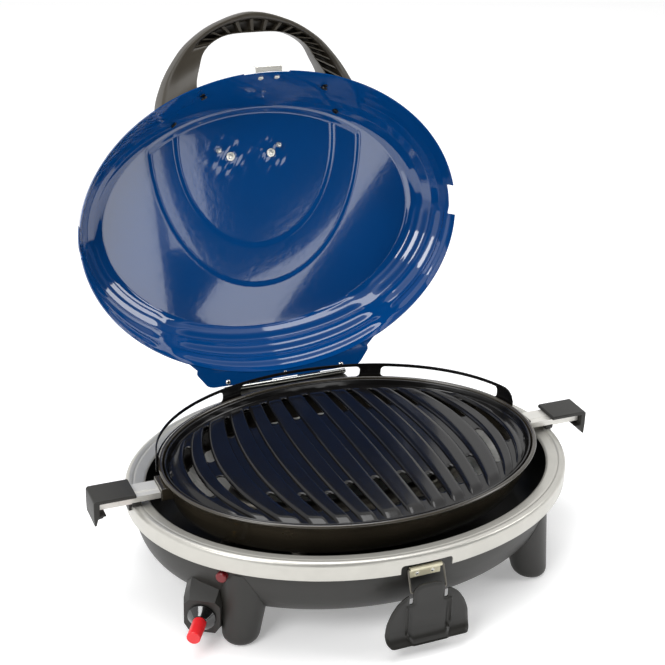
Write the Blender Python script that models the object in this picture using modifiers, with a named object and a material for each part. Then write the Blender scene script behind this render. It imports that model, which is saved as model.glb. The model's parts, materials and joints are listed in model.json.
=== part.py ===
"""Folding camp grill: bowl on four legs, grill pan, hinged lid, latch and gas inlet.

Axes: +X to the right, +Y to the back, +Z up.  Metres.  The feet stand on z = 0.
Lid pieces are drawn in the closed position and turned open by the lid pivot.
"""
import math

import bmesh
import bpy
from mathutils import Matrix, Vector

SHIFT_Y = 0.0625          # moves the whole grill so that its rest box is centred on y = 0
GAP = 0.0003              # clearance between neighbouring pieces
N_OVAL = 48               # segments round every oval piece

# silver rim and bowl
RIM_A, RIM_B, RIM_TOP = 0.2450, 0.1890, 0.1084
BOWL_LEVEL, BOWL_DEEP, BOWL_TUCK, BOWL_OFF = 0.0884, 0.0590, 0.0360, 0.0083
BOWL_TOP, SHEET = 0.1046, 0.0020

# grill pan
PAN_A, PAN_B, PAN_Y = 0.2106, 0.1549, -0.0013
PLATE_TOP = 0.1200
SLOT_WIDE, LAND_HIGH = 0.0088, 0.0032

# lid, closed
LID_A, LID_B, LID_Y, LID_EDGE = 0.2311, 0.1743, 0.0043, 0.1126
LID_IN_A, LID_IN_B, LID_RISE = 0.0386, 0.0423, 0.0608
LID_SHEET = 0.0012
HINGE_Y, HINGE_Z = 0.1925, 0.1122
LID_OPEN = math.radians(101.05)

# legs
FOOT_X, FOOT_Y, LEG_TOP = 0.1664, 0.1155, 0.0804
LEG_NORMAL = (0.643, 0.766)

# gas inlet beside the front left leg
INLET = Vector((-0.2035, -0.1060, 0.0280))
INLET_OUT = Vector((-0.5300, -0.8480, 0.0))
INLET_SIDE = Vector((0.8480, -0.5300, 0.0))
JET_Z = 0.0520

# igniter button
BUTTON = Vector((-0.1841, -0.1133, 0.0778))
BUTTON_OUT = Vector((-0.6880, -0.7260, 0.0))

# grips
GRIP_TRAVEL = 0.020

# latch
BAIL_Y, BAIL_Z = -0.1850, 0.0905
LEVER_Y, LEVER_Z = -0.1945, 0.0694

SLOTS = {
    "enamel": (0.010, 0.010, 0.014, 0.0, 0.20),
    "bowl_paint": (0.045, 0.044, 0.040, 0.0, 0.50),
    "rim_silver": (0.62, 0.60, 0.55, 0.7, 0.35),
    "lid_blue": (0.006, 0.040, 0.150, 0.0, 0.18),
    "chrome": (0.75, 0.75, 0.74, 1.0, 0.15),
    "steel": (0.50, 0.50, 0.48, 1.0, 0.35),
    "tray_aluminium": (0.60, 0.60, 0.60, 1.0, 0.35),
    "brass": (0.60, 0.44, 0.18, 1.0, 0.30),
    "black_plastic": (0.030, 0.030, 0.028, 0.0, 0.45),
    "gloss_black": (0.012, 0.012, 0.012, 0.0, 0.12),
    "handle_plastic": (0.110, 0.100, 0.085, 0.0, 0.40),
    "red_plastic": (0.80, 0.06, 0.06, 0.0, 0.35),
    "dark_red": (0.22, 0.02, 0.015, 0.0, 0.40),
    "ceramic": (0.80, 0.78, 0.72, 0.0, 0.35),
}


# ---------------------------------------------------------------- scene set-up
for old in list(bpy.data.objects):
    bpy.data.objects.remove(old, do_unlink=True)

GRILL = bpy.data.collections.new("folding_camp_grill")
CUTTERS = bpy.data.collections.new("cutters")
bpy.context.scene.collection.children.link(GRILL)
bpy.context.scene.collection.children.link(CUTTERS)


def material(name, values):
    red, green, blue, metal, rough = values
    made = bpy.data.materials.new(name)
    made.use_nodes = True
    shader = made.node_tree.nodes["Principled BSDF"]
    shader.inputs["Base Color"].default_value = (red, green, blue, 1.0)
    shader.inputs["Metallic"].default_value = metal
    shader.inputs["Roughness"].default_value = rough
    return made


MATERIALS = {name: material(name, values) for name, values in SLOTS.items()}


def pivot(name, at, parent=None, tilt=0.0):
    """An empty on a joint axis."""
    empty = bpy.data.objects.new(name, None)
    empty.empty_display_size = 0.02
    empty.location = at
    empty.rotation_euler = (tilt, 0.0, 0.0)
    empty.parent = parent
    GRILL.objects.link(empty)
    return empty


ROOT = pivot("grill_frame", (0.0, -SHIFT_Y, 0.0))
HINGE = Vector((0.0, HINGE_Y, HINGE_Z))
BAIL_AXIS = Vector((0.0, BAIL_Y, BAIL_Z))
LEVER_AXIS = Vector((0.0, LEVER_Y, LEVER_Z))
PAN_HOME = Vector((0.0, PAN_Y, PLATE_TOP))
HOME = {"base": (ROOT, Vector((0.0, 0.0, 0.0)))}


def add_home(key, name, at, tilt=0.0):
    HOME[key] = (pivot(name, at, ROOT, tilt), Vector(at))


add_home("lid", "lid_axis", HINGE, -LID_OPEN)
add_home("pan", "pan_axis", PAN_HOME)
add_home("plate", "plate_axis", PAN_HOME)
add_home("grip_left", "grip_left_axis", (-0.2600, 0.0, 0.1148))
add_home("grip_right", "grip_right_axis", (0.2600, 0.0, 0.1148))
add_home("bail", "bail_axis", BAIL_AXIS)
add_home("lever", "lever_axis", LEVER_AXIS)
add_home("button", "button_axis", BUTTON)
add_home("cap", "cap_axis", INLET)


def place(obj, home, slot):
    """Link a piece to the grill, under the pivot it moves with."""
    parent, _ = HOME[home]
    obj.parent = parent
    obj.data.materials.append(MATERIALS[slot])
    GRILL.objects.link(obj)
    return obj


def finish(name, form, home, slot):
    """Turn a bmesh drawn in grill coordinates into a piece on its pivot."""
    _, at = HOME[home]
    bmesh.ops.translate(form, vec=-at, verts=form.verts)
    bmesh.ops.recalc_face_normals(form, faces=form.faces)
    mesh = bpy.data.meshes.new(name)
    form.to_mesh(mesh)
    form.free()
    return place(bpy.data.objects.new(name, mesh), home, slot)


def cutter(name, form, home="base"):
    """A hidden cutting body, drawn in the same coordinates as the piece it cuts."""
    parent, at = HOME[home]
    bmesh.ops.translate(form, vec=-at, verts=form.verts)
    bmesh.ops.recalc_face_normals(form, faces=form.faces)
    mesh = bpy.data.meshes.new(name)
    form.to_mesh(mesh)
    form.free()
    obj = bpy.data.objects.new(name, mesh)
    obj.parent = parent
    obj.hide_render = True
    obj.display_type = "WIRE"
    CUTTERS.objects.link(obj)
    return obj


def combine(obj, other, how="DIFFERENCE"):
    step = obj.modifiers.new(how.lower(), "BOOLEAN")
    step.operation = how
    step.solver = "EXACT"
    step.object = other
    return obj


def soften(obj, width, segments=2, angle=40.0):
    step = obj.modifiers.new("soft_edges", "BEVEL")
    step.width = width
    step.segments = segments
    step.limit_method = "ANGLE"
    step.angle_limit = math.radians(angle)
    return obj


# ---------------------------------------------------------------- form makers
def loft(sections, closed_loop=False):
    """Skin a list of point rings; a closed loop has no end caps."""
    form = bmesh.new()
    rings = [[form.verts.new(point) for point in ring] for ring in sections]
    count = len(rings[0])
    pairs = list(zip(rings, rings[1:]))
    if closed_loop:
        pairs.append((rings[-1], rings[0]))
    for low, high in pairs:
        for i in range(count):
            j = (i + 1) % count
            form.faces.new((low[i], low[j], high[j], high[i]))
    if not closed_loop:
        form.faces.new(rings[0][::-1])
        form.faces.new(rings[-1])
    return form


def oval(half_x, half_y, mid_y, z, count=N_OVAL):
    ring = []
    for i in range(count):
        turn = 2.0 * math.pi * i / count
        ring.append((half_x * math.cos(turn), mid_y + half_y * math.sin(turn), z))
    return ring


def oval_stack(profile, half_x, half_y, mid_y, closed_loop=False, count=N_OVAL):
    """Rings of an oval, each stepped in by its own offset: profile of (offset, z)."""
    rings = [oval(half_x - d, half_y - d, mid_y, z, count) for d, z in profile]
    return loft(rings, closed_loop)


def prism(outline, origin, along_u, along_v, start, end):
    """An outline in the u, v plane, pushed along u x v from start to end."""
    u, v = Vector(along_u), Vector(along_v)
    w = u.cross(v)
    origin = Vector(origin)
    low = [origin + u * a + v * b + w * start for a, b in outline]
    high = [origin + u * a + v * b + w * end for a, b in outline]
    return loft([low, high])


def block(low, high):
    (x0, y0, z0), (x1, y1, z1) = low, high
    outline = [(x0, y0), (x1, y0), (x1, y1), (x0, y1)]
    return prism(outline, (0, 0, 0), (1, 0, 0), (0, 1, 0), z0, z1)


def turned(profile, origin, axis, count=16):
    """A profile of (radius, height) spun about an axis; zero radius closes an end."""
    form = bmesh.new()
    points = [form.verts.new((radius, 0.0, height)) for radius, height in profile]
    edges = [form.edges.new(pair) for pair in zip(points, points[1:])]
    if profile[0][0] > 0.0:
        edges.append(form.edges.new((points[-1], points[0])))
    bmesh.ops.spin(form, geom=points + edges, cent=(0, 0, 0), axis=(0, 0, 1),
                   angle=2.0 * math.pi, steps=count, use_merge=True)
    bmesh.ops.remove_doubles(form, verts=form.verts, dist=1e-6)
    turn = Vector((0, 0, 1)).rotation_difference(Vector(axis).normalized()).to_matrix().to_4x4()
    bmesh.ops.transform(form, matrix=Matrix.Translation(Vector(origin)) @ turn, verts=form.verts)
    return form


def rounded_path(points, radius, steps=4):
    """Corner points with each inner corner replaced by a short arc."""
    points = [Vector(point) for point in points]
    path = [points[0]]
    for before, corner, after in zip(points, points[1:], points[2:]):
        back = (before - corner).normalized() * radius
        on = (after - corner).normalized() * radius
        for i in range(steps + 1):
            share = i / steps
            path.append(corner + back * (1 - share) ** 2 + on * share ** 2)
    path.append(points[-1])
    return path


def wire(name, path, radius, home, slot, cyclic=False, sides=3):
    """A round wire or tube along a path."""
    _, at = HOME[home]
    curve = bpy.data.curves.new(name, "CURVE")
    curve.dimensions = "3D"
    curve.bevel_depth = radius
    curve.bevel_resolution = sides - 1
    curve.use_fill_caps = not cyclic
    spline = curve.splines.new("POLY")
    spline.points.add(len(path) - 1)
    for point, spot in zip(spline.points, path):
        point.co = (*(Vector(spot) - at), 1.0)
    spline.use_cyclic_u = cyclic
    return place(bpy.data.objects.new(name, curve), home, slot)


def rivet(name, at, axis, radius, height, home, slot, count=9):
    """A domed rivet or screw head."""
    dome = [(0.0, height), (radius * 0.6, height * 0.85), (radius, height * 0.3), (radius, 0.0),
            (0.0, 0.0)]
    return finish(name, turned(dome, at, axis, count), home, slot)


# ---------------------------------------------------------------- bowl and rim
def bowl_wall(thick, levels=7):
    """(offset, z) down one face of the bowl; thick 0 is the outer face."""
    wall = []
    for i in range(levels):
        turn = math.radians(90.0 * i / (levels - 1))
        tuck = (BOWL_TUCK - thick) * (1.0 - math.cos(turn))
        wall.append((BOWL_OFF + thick + tuck, BOWL_LEVEL - (BOWL_DEEP - thick) * math.sin(turn)))
    return wall


def bowl_space(grow):
    """The whole outer volume of the bowl, grown by a clearance."""
    wall = [(d - grow, z - grow) for d, z in bowl_wall(0.0, 9)]
    return oval_stack([(BOWL_OFF - grow, 0.130)] + wall, RIM_A, RIM_B, 0.0)


outer = bowl_wall(0.0)
inner = bowl_wall(SHEET)
bowl_profile = outer[::-1] + [(BOWL_OFF, BOWL_TOP), (BOWL_OFF + SHEET, BOWL_TOP)] + inner
bowl = finish("bowl", oval_stack(bowl_profile, RIM_A, RIM_B, 0.0), "base", "bowl_paint")
jet_hole = turned([(0.0, -0.030), (0.0050, -0.030), (0.0050, 0.030), (0.0, 0.030)],
                  INLET - INLET_OUT * 0.020 + Vector((0, 0, JET_Z - INLET.z)), INLET_OUT)
combine(bowl, cutter("jet_hole", jet_hole))
button_hole = turned([(0.0, -0.012), (0.0062, -0.012), (0.0062, 0.012), (0.0, 0.012)],
                     BUTTON, BUTTON_OUT)
combine(bowl, cutter("button_hole", button_hole))

rim_profile = [(0.0000, 0.0885), (0.0000, 0.1045), (0.0012, 0.1072), (0.0040, RIM_TOP),
               (0.0074, 0.1079), (0.0088, 0.1064), (0.0106, 0.1066), (0.0196, 0.1049),
               (0.0217, 0.1031), (0.0205, 0.1022), (0.0190, 0.1034), (0.0106, 0.1051),
               (0.0044, 0.1060), (0.0020, 0.1038), (0.0016, 0.0885)]
rim = finish("rim_ring", oval_stack(rim_profile, RIM_A, RIM_B, 0.0, True), "base", "rim_silver")
notch = [(-0.0280, 0.0800), (0.0280, 0.0800), (0.0280, 0.0954), (0.0250, 0.0984),
         (-0.0250, 0.0984), (-0.0280, 0.0954)]
combine(rim, cutter("latch_notch", prism(notch, (0, 0, 0), (1, 0, 0), (0, 0, 1), 0.180, 0.200)))


# ---------------------------------------------------------------- legs
def leg_form(side_x, side_y, grow=0.0):
    """A round leg that leans in and widens upwards."""
    out = Vector((LEG_NORMAL[0] * side_x, LEG_NORMAL[1] * side_y, 0.0))
    foot = Vector((FOOT_X * side_x, FOOT_Y * side_y, 0.0))
    rings = []
    for z, radius in ((0.0, 0.0112), (0.0018, 0.0155), (0.0055, 0.0184), (0.0110, 0.0196),
                      (LEG_TOP, 0.0280)):
        middle = foot - out * 0.0175 * z / LEG_TOP
        ring = []
        for i in range(28):
            turn = 2.0 * math.pi * i / 28
            wide = radius + grow
            ring.append(middle + Vector((wide * math.cos(turn), wide * math.sin(turn), z)))
        rings.append(ring)
    return loft(rings)


for side_x, side_y, name in ((-1, -1, "leg_front_left"), (1, -1, "leg_front_right"),
                             (-1, 1, "leg_rear_left"), (1, 1, "leg_rear_right")):
    leg = finish(name, leg_form(side_x, side_y), "base", "bowl_paint")
    combine(leg, cutter("bowl_space_" + name, bowl_space(GAP)))

# ---------------------------------------------------------------- burner under the plate
tray_rings = []
for offset, z in ((0.0350, 0.0658), (0.0010, 0.0962), (0.0022, 0.0970), (0.0362, 0.0672)):
    tray_rings.append(oval(0.1850 - offset, 0.1310 - offset, 0.0, z))
tray = finish("reflector_tray", loft(tray_rings), "base", "tray_aluminium")
riser_hole = turned([(0.0, 0.050), (0.0090, 0.050), (0.0090, 0.075), (0.0, 0.075)],
                    (-0.130, 0, 0), (0, 0, 1))
combine(tray, cutter("riser_hole", riser_hole))

CHANNEL = [(0.0, 0.0), (0.014, 0.0), (0.014, 0.0014), (0.0014, 0.0014), (0.0014, 0.0312),
           (0.014, 0.0312), (0.014, 0.0326), (0.0, 0.0326)]
for side, name in ((-1, "tray_stand_left"), (1, "tray_stand_right")):
    outline = [(side * (0.068 + a), b) for a, b in CHANNEL]
    form = prism(outline, (0, 0, 0.0318), (1, 0, 0), (0, 0, 1), -0.050, 0.050)
    finish(name, form, "base", "steel")

ring_path = [Vector(point) for point in oval(0.130, 0.0525, 0.0, 0.0864, 40)]
wire("burner_ring", ring_path, 0.0090, "base", "steel", cyclic=True)
tube_start = INLET - INLET_OUT * 0.033
tube_path = rounded_path([(tube_start.x, tube_start.y, JET_Z), (-0.1300, 0.0, JET_Z),
                          (-0.1300, 0.0, 0.0771)], 0.014)
wire("mixing_tube", tube_path, 0.0080, "base", "steel")
post = turned([(0.0, 0.0675), (0.0040, 0.0675), (0.0040, 0.0771), (0.0, 0.0771)],
              (0.130, 0, 0), (0, 0, 1))
finish("burner_post", post, "base", "steel")
electrode = turned([(0.0, 0.0675), (0.0032, 0.0675), (0.0032, 0.0860), (0.0010, 0.0885),
                    (0.0010, 0.0950), (0.0, 0.0950)], (-0.045, -0.0650, 0), (0, 0, 1), 12)
finish("spark_electrode", electrode, "base", "ceramic")

# ---------------------------------------------------------------- gas inlet
depth = -INLET_OUT
housing_rings = []
for t, mid, low, top, wide in ((0.0, 0.0410, 0.0100, 0.0465, 0.0185),
                               (0.0080, 0.0430, 0.0095, 0.0520, 0.0205),
                               (0.0450, 0.0600, 0.0095, 0.0800, 0.0220)):
    ring = [(-0.72, low), (0.72, low), (1.0, low + 0.008), (1.0, mid), (0.70, top),
            (-0.70, top), (-1.0, mid), (-1.0, low + 0.008)]
    base = Vector((INLET.x, INLET.y, 0.0)) + depth * t
    housing_rings.append([base + INLET_SIDE * wide * a + Vector((0, 0, z)) for a, z in ring])
housing = finish("valve_housing", loft(housing_rings), "base", "bowl_paint")
combine(housing, cutter("bowl_space_housing", bowl_space(GAP)))
combine(housing, cutter("leg_space", leg_form(-1, -1, GAP * 1.4)))
floor = Vector((INLET.x, INLET.y, 0.0))
pocket = [(0.0030, 0.0160), (0.0600, 0.0160), (0.0600, 0.0765), (0.0450, 0.0765),
          (0.0085, 0.0494), (0.0030, 0.0455)]
combine(housing, cutter("valve_pocket", prism(pocket, floor, depth, (0, 0, 1), -0.0115, 0.0115)))
bore = turned([(0.0, -0.010), (0.0064, -0.010), (0.0064, 0.010), (0.0, 0.010)], INLET, INLET_OUT)
combine(housing, cutter("inlet_bore", bore))

valve = [(0.0050, 0.0200), (0.0200, 0.0200), (0.0200, 0.0560), (0.0190, 0.0556),
         (0.0118, 0.0440), (0.0050, 0.0440)]
valve = prism(valve, floor, depth, (0, 0, 1), -0.0080, 0.0080)
valve = finish("valve_body", valve, "base", "brass")
combine(valve, cutter("bowl_space_valve", bowl_space(GAP)))
nipple = turned([(0.0, -0.0046), (0.0046, -0.0046), (0.0046, 0.0240), (0.0036, 0.0260),
                 (0.0, 0.0260)], INLET, INLET_OUT)
finish("inlet_nipple", nipple, "base", "brass")
jet = turned([(0.0, -0.0310), (0.0022, -0.0310), (0.0032, -0.0270), (0.0032, -0.0204),
              (0.0, -0.0204)], INLET + Vector((0, 0, JET_Z - INLET.z)), INLET_OUT, 12)
finish("gas_jet", jet, "base", "brass")
collar = turned([(0.0052, 0.0004), (0.0145, 0.0004), (0.0145, 0.0022), (0.0074, 0.0095),
                 (0.0052, 0.0095)], INLET, INLET_OUT, 24)
finish("nozzle_collar", collar, "base", "gloss_black")
cap = turned([(0.0, 0.0264), (0.0050, 0.0264), (0.0050, 0.0099), (0.0070, 0.0099),
              (0.0070, 0.0345), (0.0062, 0.0352), (0.0, 0.0352)], INLET, INLET_OUT, 20)
finish("inlet_cap", cap, "cap", "red_plastic")

button = turned([(0.0, -0.0040), (0.0056, -0.0040), (0.0056, 0.0052), (0.0046, 0.0062),
                 (0.0, 0.0062)], BUTTON, BUTTON_OUT, 16)
finish("igniter_button", button, "button", "dark_red")
igniter = turned([(0.0, -0.0340), (0.0068, -0.0340), (0.0068, -0.0076), (0.0, -0.0076)],
                 BUTTON, BUTTON_OUT, 16)
finish("igniter_body", igniter, "base", "black_plastic")

# ---------------------------------------------------------------- grill pan
pan_profile = [(0.0000, 0.1280), (0.0004, 0.1263), (0.0028, 0.1246), (0.0060, 0.1180),
               (0.0085, 0.1080), (0.0125, 0.0970), (0.0165, 0.0880), (0.0181, 0.0880),
               (0.0142, 0.0972), (0.0102, 0.1080), (0.0090, 0.1146), (0.0165, 0.1146),
               (0.0165, 0.1160), (0.0078, 0.1163), (0.0056, 0.1235), (0.0048, 0.1284),
               (0.0024, 0.1296)]
finish("pan_shell", oval_stack(pan_profile, PAN_A, PAN_B, PAN_Y, True), "pan", "enamel")


def guard_form():
    """Upright band round the back of the pan with three windows."""
    turns = [8, 10, 13, 17, 19, 25, 32, 39, 46, 53, 60.5, 62.5, 69.5, 71.5, 78, 84, 90]
    turns = turns + [180 - turn for turn in turns[-2::-1]]
    windows = ((17, 62.5), (69.5, 110.5), (117.5, 163))
    tops = {8: 0.1300, 10: 0.1385, 13: 0.1430}
    form = bmesh.new()
    layers = []
    for offset in (-0.0011, -0.0023):
        columns = []
        for turn in turns:
            lean = math.radians(turn)
            x = (PAN_A - offset) * math.cos(lean)
            y = PAN_Y + (PAN_B - offset) * math.sin(lean)
            top = tops.get(min(turn, 180 - turn), 0.1445)
            heights = (0.1240, 0.1272, 0.1290, min(0.1390, top - 0.0006), min(0.1405, top - 0.0003),
                       top)
            columns.append([form.verts.new((x, y, z)) for z in heights])
        layers.append(columns)

    def solid(i, k):
        middle = (turns[i] + turns[i + 1]) / 2
        for low, high in windows:
            if low < middle < high:
                corner = middle < low + 2 or middle > high - 2
                return k in (0, 4) or (corner and k in (1, 3))
        return True

    def side(a, b, c, d):
        form.faces.new((a, b, c, d))

    spans, rows = len(turns) - 1, 5
    front, back = layers
    for i in range(spans):
        for k in range(rows):
            if not solid(i, k):
                continue
            side(front[i][k], front[i + 1][k], front[i + 1][k + 1], front[i][k + 1])
            side(back[i][k], back[i][k + 1], back[i + 1][k + 1], back[i + 1][k])
            if k == 0 or not solid(i, k - 1):
                side(front[i][k], back[i][k], back[i + 1][k], front[i + 1][k])
            if k == rows - 1 or not solid(i, k + 1):
                side(front[i][k + 1], front[i + 1][k + 1], back[i + 1][k + 1], back[i][k + 1])
            if i == 0 or not solid(i - 1, k):
                side(front[i][k], front[i][k + 1], back[i][k + 1], back[i][k])
            if i == spans - 1 or not solid(i + 1, k):
                side(front[i + 1][k], back[i + 1][k], back[i + 1][k + 1], front[i + 1][k + 1])
    return form


finish("guard_rail", guard_form(), "pan", "enamel")

pan_outer = [(0.0000, 0.1400)] + [(d - GAP, z) for d, z in pan_profile[:7]]
for side, name in ((-1, "left"), (1, "right")):
    out = (side, 0, 0)
    ends = sorted((side * 0.2000, side * 0.2152))
    bracket = finish("channel_bracket_" + name,
                     block((ends[0], -0.0140, 0.1100), (ends[1], 0.0140, 0.1240)),
                     "pan", "enamel")
    space = oval_stack(pan_outer, PAN_A, PAN_B, PAN_Y)
    combine(bracket, cutter("pan_space_" + name, space, "pan"))
    section = [(-0.0120, 0.1130), (-0.0120, 0.1196), (-0.0045, 0.1196), (-0.0037, 0.1204),
               (0.0120, 0.1204), (0.0120, 0.1130), (0.0111, 0.1130), (0.0111, 0.1194),
               (-0.0034, 0.1194), (-0.0042, 0.1187), (-0.0111, 0.1187), (-0.0111, 0.1130)]
    ends = sorted((side * 0.2155, side * 0.2590))
    form = prism(section, (0, 0, 0), (0, 1, 0), (0, 0, 1), *ends)
    finish("outer_channel_" + name, form, "pan", "chrome")
    foot = [(-0.0126, 0.1088), (0.0126, 0.1088), (0.0126, 0.1127), (0.0112, 0.1127),
            (0.0112, 0.1108), (-0.0112, 0.1108), (-0.0112, 0.1127), (-0.0126, 0.1127)]
    ends = sorted((side * 0.2365, side * 0.2455))
    foot = finish("channel_foot_" + name,
                  prism(foot, (0, 0, 0), (0, 1, 0), (0, 0, 1), *ends), "pan", "black_plastic")
    ends = sorted((side * 0.2440, side * 0.2478))
    hook = block((ends[0], -0.0060, 0.1010), (ends[1], 0.0060, 0.1100))
    combine(foot, cutter("foot_hook_" + name, hook, "pan"), "UNION")
    rim_space = [(-GAP, 0.0800)] + [(d - GAP, z + GAP) for d, z in rim_profile[1:5]]
    rim_space = oval_stack(rim_space, RIM_A, RIM_B, 0.0)
    combine(foot, cutter("rim_space_" + name, rim_space, "pan"))


# ---------------------------------------------------------------- slotted grill plate
BARS = (0.0, 0.031, 0.060, 0.088, 0.118, 0.151, 0.176)
REAR = {0.0: (0.134, 0.082), 0.031: (0.133, 0.081), 0.060: (0.130, 0.079),
        0.088: (0.122, 0.079), 0.118: (0.112, 0.068), 0.151: (0.100, 0.024)}
FRONT = {0.0: (-0.063, -0.119), 0.031: (-0.063, -0.119), 0.060: (-0.075, -0.113),
         0.088: (-0.068, -0.104), 0.118: (-0.055, -0.095), 0.151: (-0.005, -0.078)}


def bow(x, y):
    """Where a line that starts at x on the middle of the plate has bowed to at y."""
    share = abs(x) / 0.176
    return x * (1.0 - (8.0 + 10.0 * share ** 3) * y * y)


def curved_bar(x, y_start, y_end, wide, low, high, steps=6, point=0.5):
    """A bar that follows the bow of the plate, with pointed-round ends."""
    left, right = [], []
    for i in range(steps + 1):
        y = y_start + (y_end - y_start) * i / steps
        half = wide / 2 * (point if i in (0, steps) else 1.0)
        left.append((bow(x, y) - half, y))
        right.append((bow(x, y) + half, y))
    ring = left + right[::-1]
    return loft([[(a, b, low) for a, b in ring], [(a, b, high) for a, b in ring]])


def join(forms):
    """Several separate bodies as one cutter."""
    total = bmesh.new()
    for form in forms:
        mesh = bpy.data.meshes.new("part_form")
        form.to_mesh(mesh)
        form.free()
        total.from_mesh(mesh)
        bpy.data.meshes.remove(mesh)
    return total


plate_profile = [(0.0220, PLATE_TOP - 0.0022), (0.0112, PLATE_TOP - 0.0022), (0.0079, 0.1196),
                 (0.0063, 0.1272), (0.0085, 0.1274), (0.0100, 0.1212), (0.0120, PLATE_TOP),
                 (0.0220, PLATE_TOP)]
plate = finish("grill_plate", oval_stack(plate_profile, PAN_A, PAN_B, PAN_Y), "plate", "enamel")
slots = []
for x in BARS[:-1]:
    for side in ((1,) if x == 0.0 else (-1, 1)):
        for start, end in (REAR[x], FRONT[x]):
            slots.append(curved_bar(x * side, start, end, SLOT_WIDE, 0.110, 0.130, 4))
for side in (-1, 1):
    slots.append(curved_bar(0.176 * side, 0.062, -0.040, SLOT_WIDE, 0.110, 0.130, 6))
combine(plate, cutter("plate_slots", join(slots), "plate"))
lands = []
for near, far in zip(BARS, BARS[1:]):
    for side in (-1, 1):
        middle = side * (near + far) / 2
        reach = 0.128 * math.sqrt(1.0 - (middle / 0.205) ** 2)
        lands.append(curved_bar(middle, -reach + 0.004, reach, (far - near) - 0.0135,
                                PLATE_TOP - 0.0010, PLATE_TOP + LAND_HIGH, 8))
combine(plate, cutter("plate_lands", join(lands), "plate"), "UNION")

# ---------------------------------------------------------------- sliding grips
for side, name in ((-1, "left"), (1, "right")):
    home = "grip_" + name
    section = [(-0.0106, 0.1112), (-0.0106, 0.1184), (0.0106, 0.1184), (0.0106, 0.1112),
               (0.0094, 0.1112), (0.0094, 0.1172), (-0.0094, 0.1172), (-0.0094, 0.1112)]
    ends = sorted((side * 0.2360, side * 0.2796))
    form = prism(section, (0, 0, 0), (0, 1, 0), (0, 0, 1), *ends)
    finish("grip_rail_" + name, form, home, "chrome")
    shape = [(0.2420, 0.1208), (0.2420, 0.1240), (0.2432, 0.1249), (0.2840, 0.1249),
             (0.2860, 0.1230), (0.2862, 0.1080), (0.2858, 0.0975), (0.2848, 0.0962),
             (0.2835, 0.0975), (0.2818, 0.1040), (0.2770, 0.1046), (0.2765, 0.1062),
             (0.2735, 0.1062), (0.2735, 0.1080), (0.2799, 0.1084), (0.2799, 0.1208)]
    shape = [(side * a, b) for a, b in shape]
    form = prism(shape, (0, 0, 0), (1, 0, 0), (0, 0, 1), -0.0170, 0.0170)
    soften(finish("grip_cap_" + name, form, home, "black_plastic"), 0.0007, 1)

# ---------------------------------------------------------------- lid
LID_LEVELS = (0.0, 0.10, 0.24, 0.42, 0.62, 0.80, 0.93, 1.0)
LID_SIDE = ((0.0, 0.0), (0.16, 0.02), (0.34, 0.07), (0.54, 0.16), (0.72, 0.30), (0.87, 0.50),
            (0.965, 0.75), (1.0, 1.0))


def lid_share(rise, turn):
    """How far in the wall has come at this height: upright at the sides, sloped front and back."""
    for (r0, s0), (r1, s1) in zip(LID_SIDE, LID_SIDE[1:]):
        if rise <= r1:
            upright = s0 + (s1 - s0) * (rise - r0) / (r1 - r0)
            break
    sloped = math.sin(turn) ** 2
    return upright + (rise - upright) * sloped


def lid_point(rise, turn, grow=0.0):
    share = lid_share(rise, turn)
    x = (LID_A - LID_IN_A * share + grow) * math.cos(turn)
    y = LID_Y + (LID_B - LID_IN_B * share + grow) * math.sin(turn)
    return Vector((x, y, LID_EDGE + LID_RISE * rise + grow * rise))


def lid_rings(grow):
    """Rings up one face of the lid; grow 0 is the inner face."""
    turns = [2.0 * math.pi * i / N_OVAL for i in range(N_OVAL)]
    return [[lid_point(rise, turn, grow) for turn in turns] for rise in LID_LEVELS]


lid = finish("lid_shell", loft(lid_rings(0.0)[::-1] + lid_rings(LID_SHEET)), "lid", "lid_blue")
tab = [(0.1175, 0.1520), (0.1080, 0.1650), (0.1090, 0.1700), (0.0970, 0.1860), (0.0900, 0.1885)]
root = []
for i in range(13):
    x = -0.1175 + 0.235 * i / 12
    root.append((x, LID_Y + (LID_B + 0.0005) * math.sqrt(1 - (x / (LID_A + 0.0005)) ** 2)))
tab = root + tab[1:] + [(-x, y) for x, y in tab[:0:-1]]
tab = prism(tab, (0, 0, 0), (1, 0, 0), (0, 1, 0), LID_EDGE + 0.0001, LID_EDGE + 0.0012)
combine(lid, cutter("lid_tab", tab, "lid"), "UNION")
for side, name in ((-1, "left"), (1, "right")):
    ends = sorted((side * 0.2150, side * 0.2450))
    form = block((ends[0], -0.0180, 0.1000), (ends[1], 0.0180, 0.1262))
    combine(lid, cutter("grip_notch_" + name, form, "lid"))
combine(lid, cutter("front_recess", block((-0.0300, -0.1900, 0.1000), (0.0250, -0.1500, 0.1146)),
                    "lid"))


def lid_space(grow):
    """The whole outer volume of the lid, grown by a clearance."""
    rings = lid_rings(LID_SHEET + grow)
    skirt = [point - Vector((0, 0, 0.004)) for point in rings[0]]
    top = [point + Vector((0, 0, grow)) for point in rings[-1]]
    return loft([skirt] + rings[:-1] + [top])


LID_KNUCKLES = ((-0.0455, -0.0160), (0.0160, 0.0455))
BASE_KNUCKLES = ((-0.0770, -0.0460), (-0.0155, 0.0155), (0.0460, 0.0770))


def knuckles(spans):
    """Hollow barrels round the hinge pin."""
    forms = []
    for start, end in spans:
        forms.append(turned([(0.0016, start), (0.0030, start), (0.0030, end), (0.0016, end)],
                            HINGE, (1, 0, 0), 18))
    return forms


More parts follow.
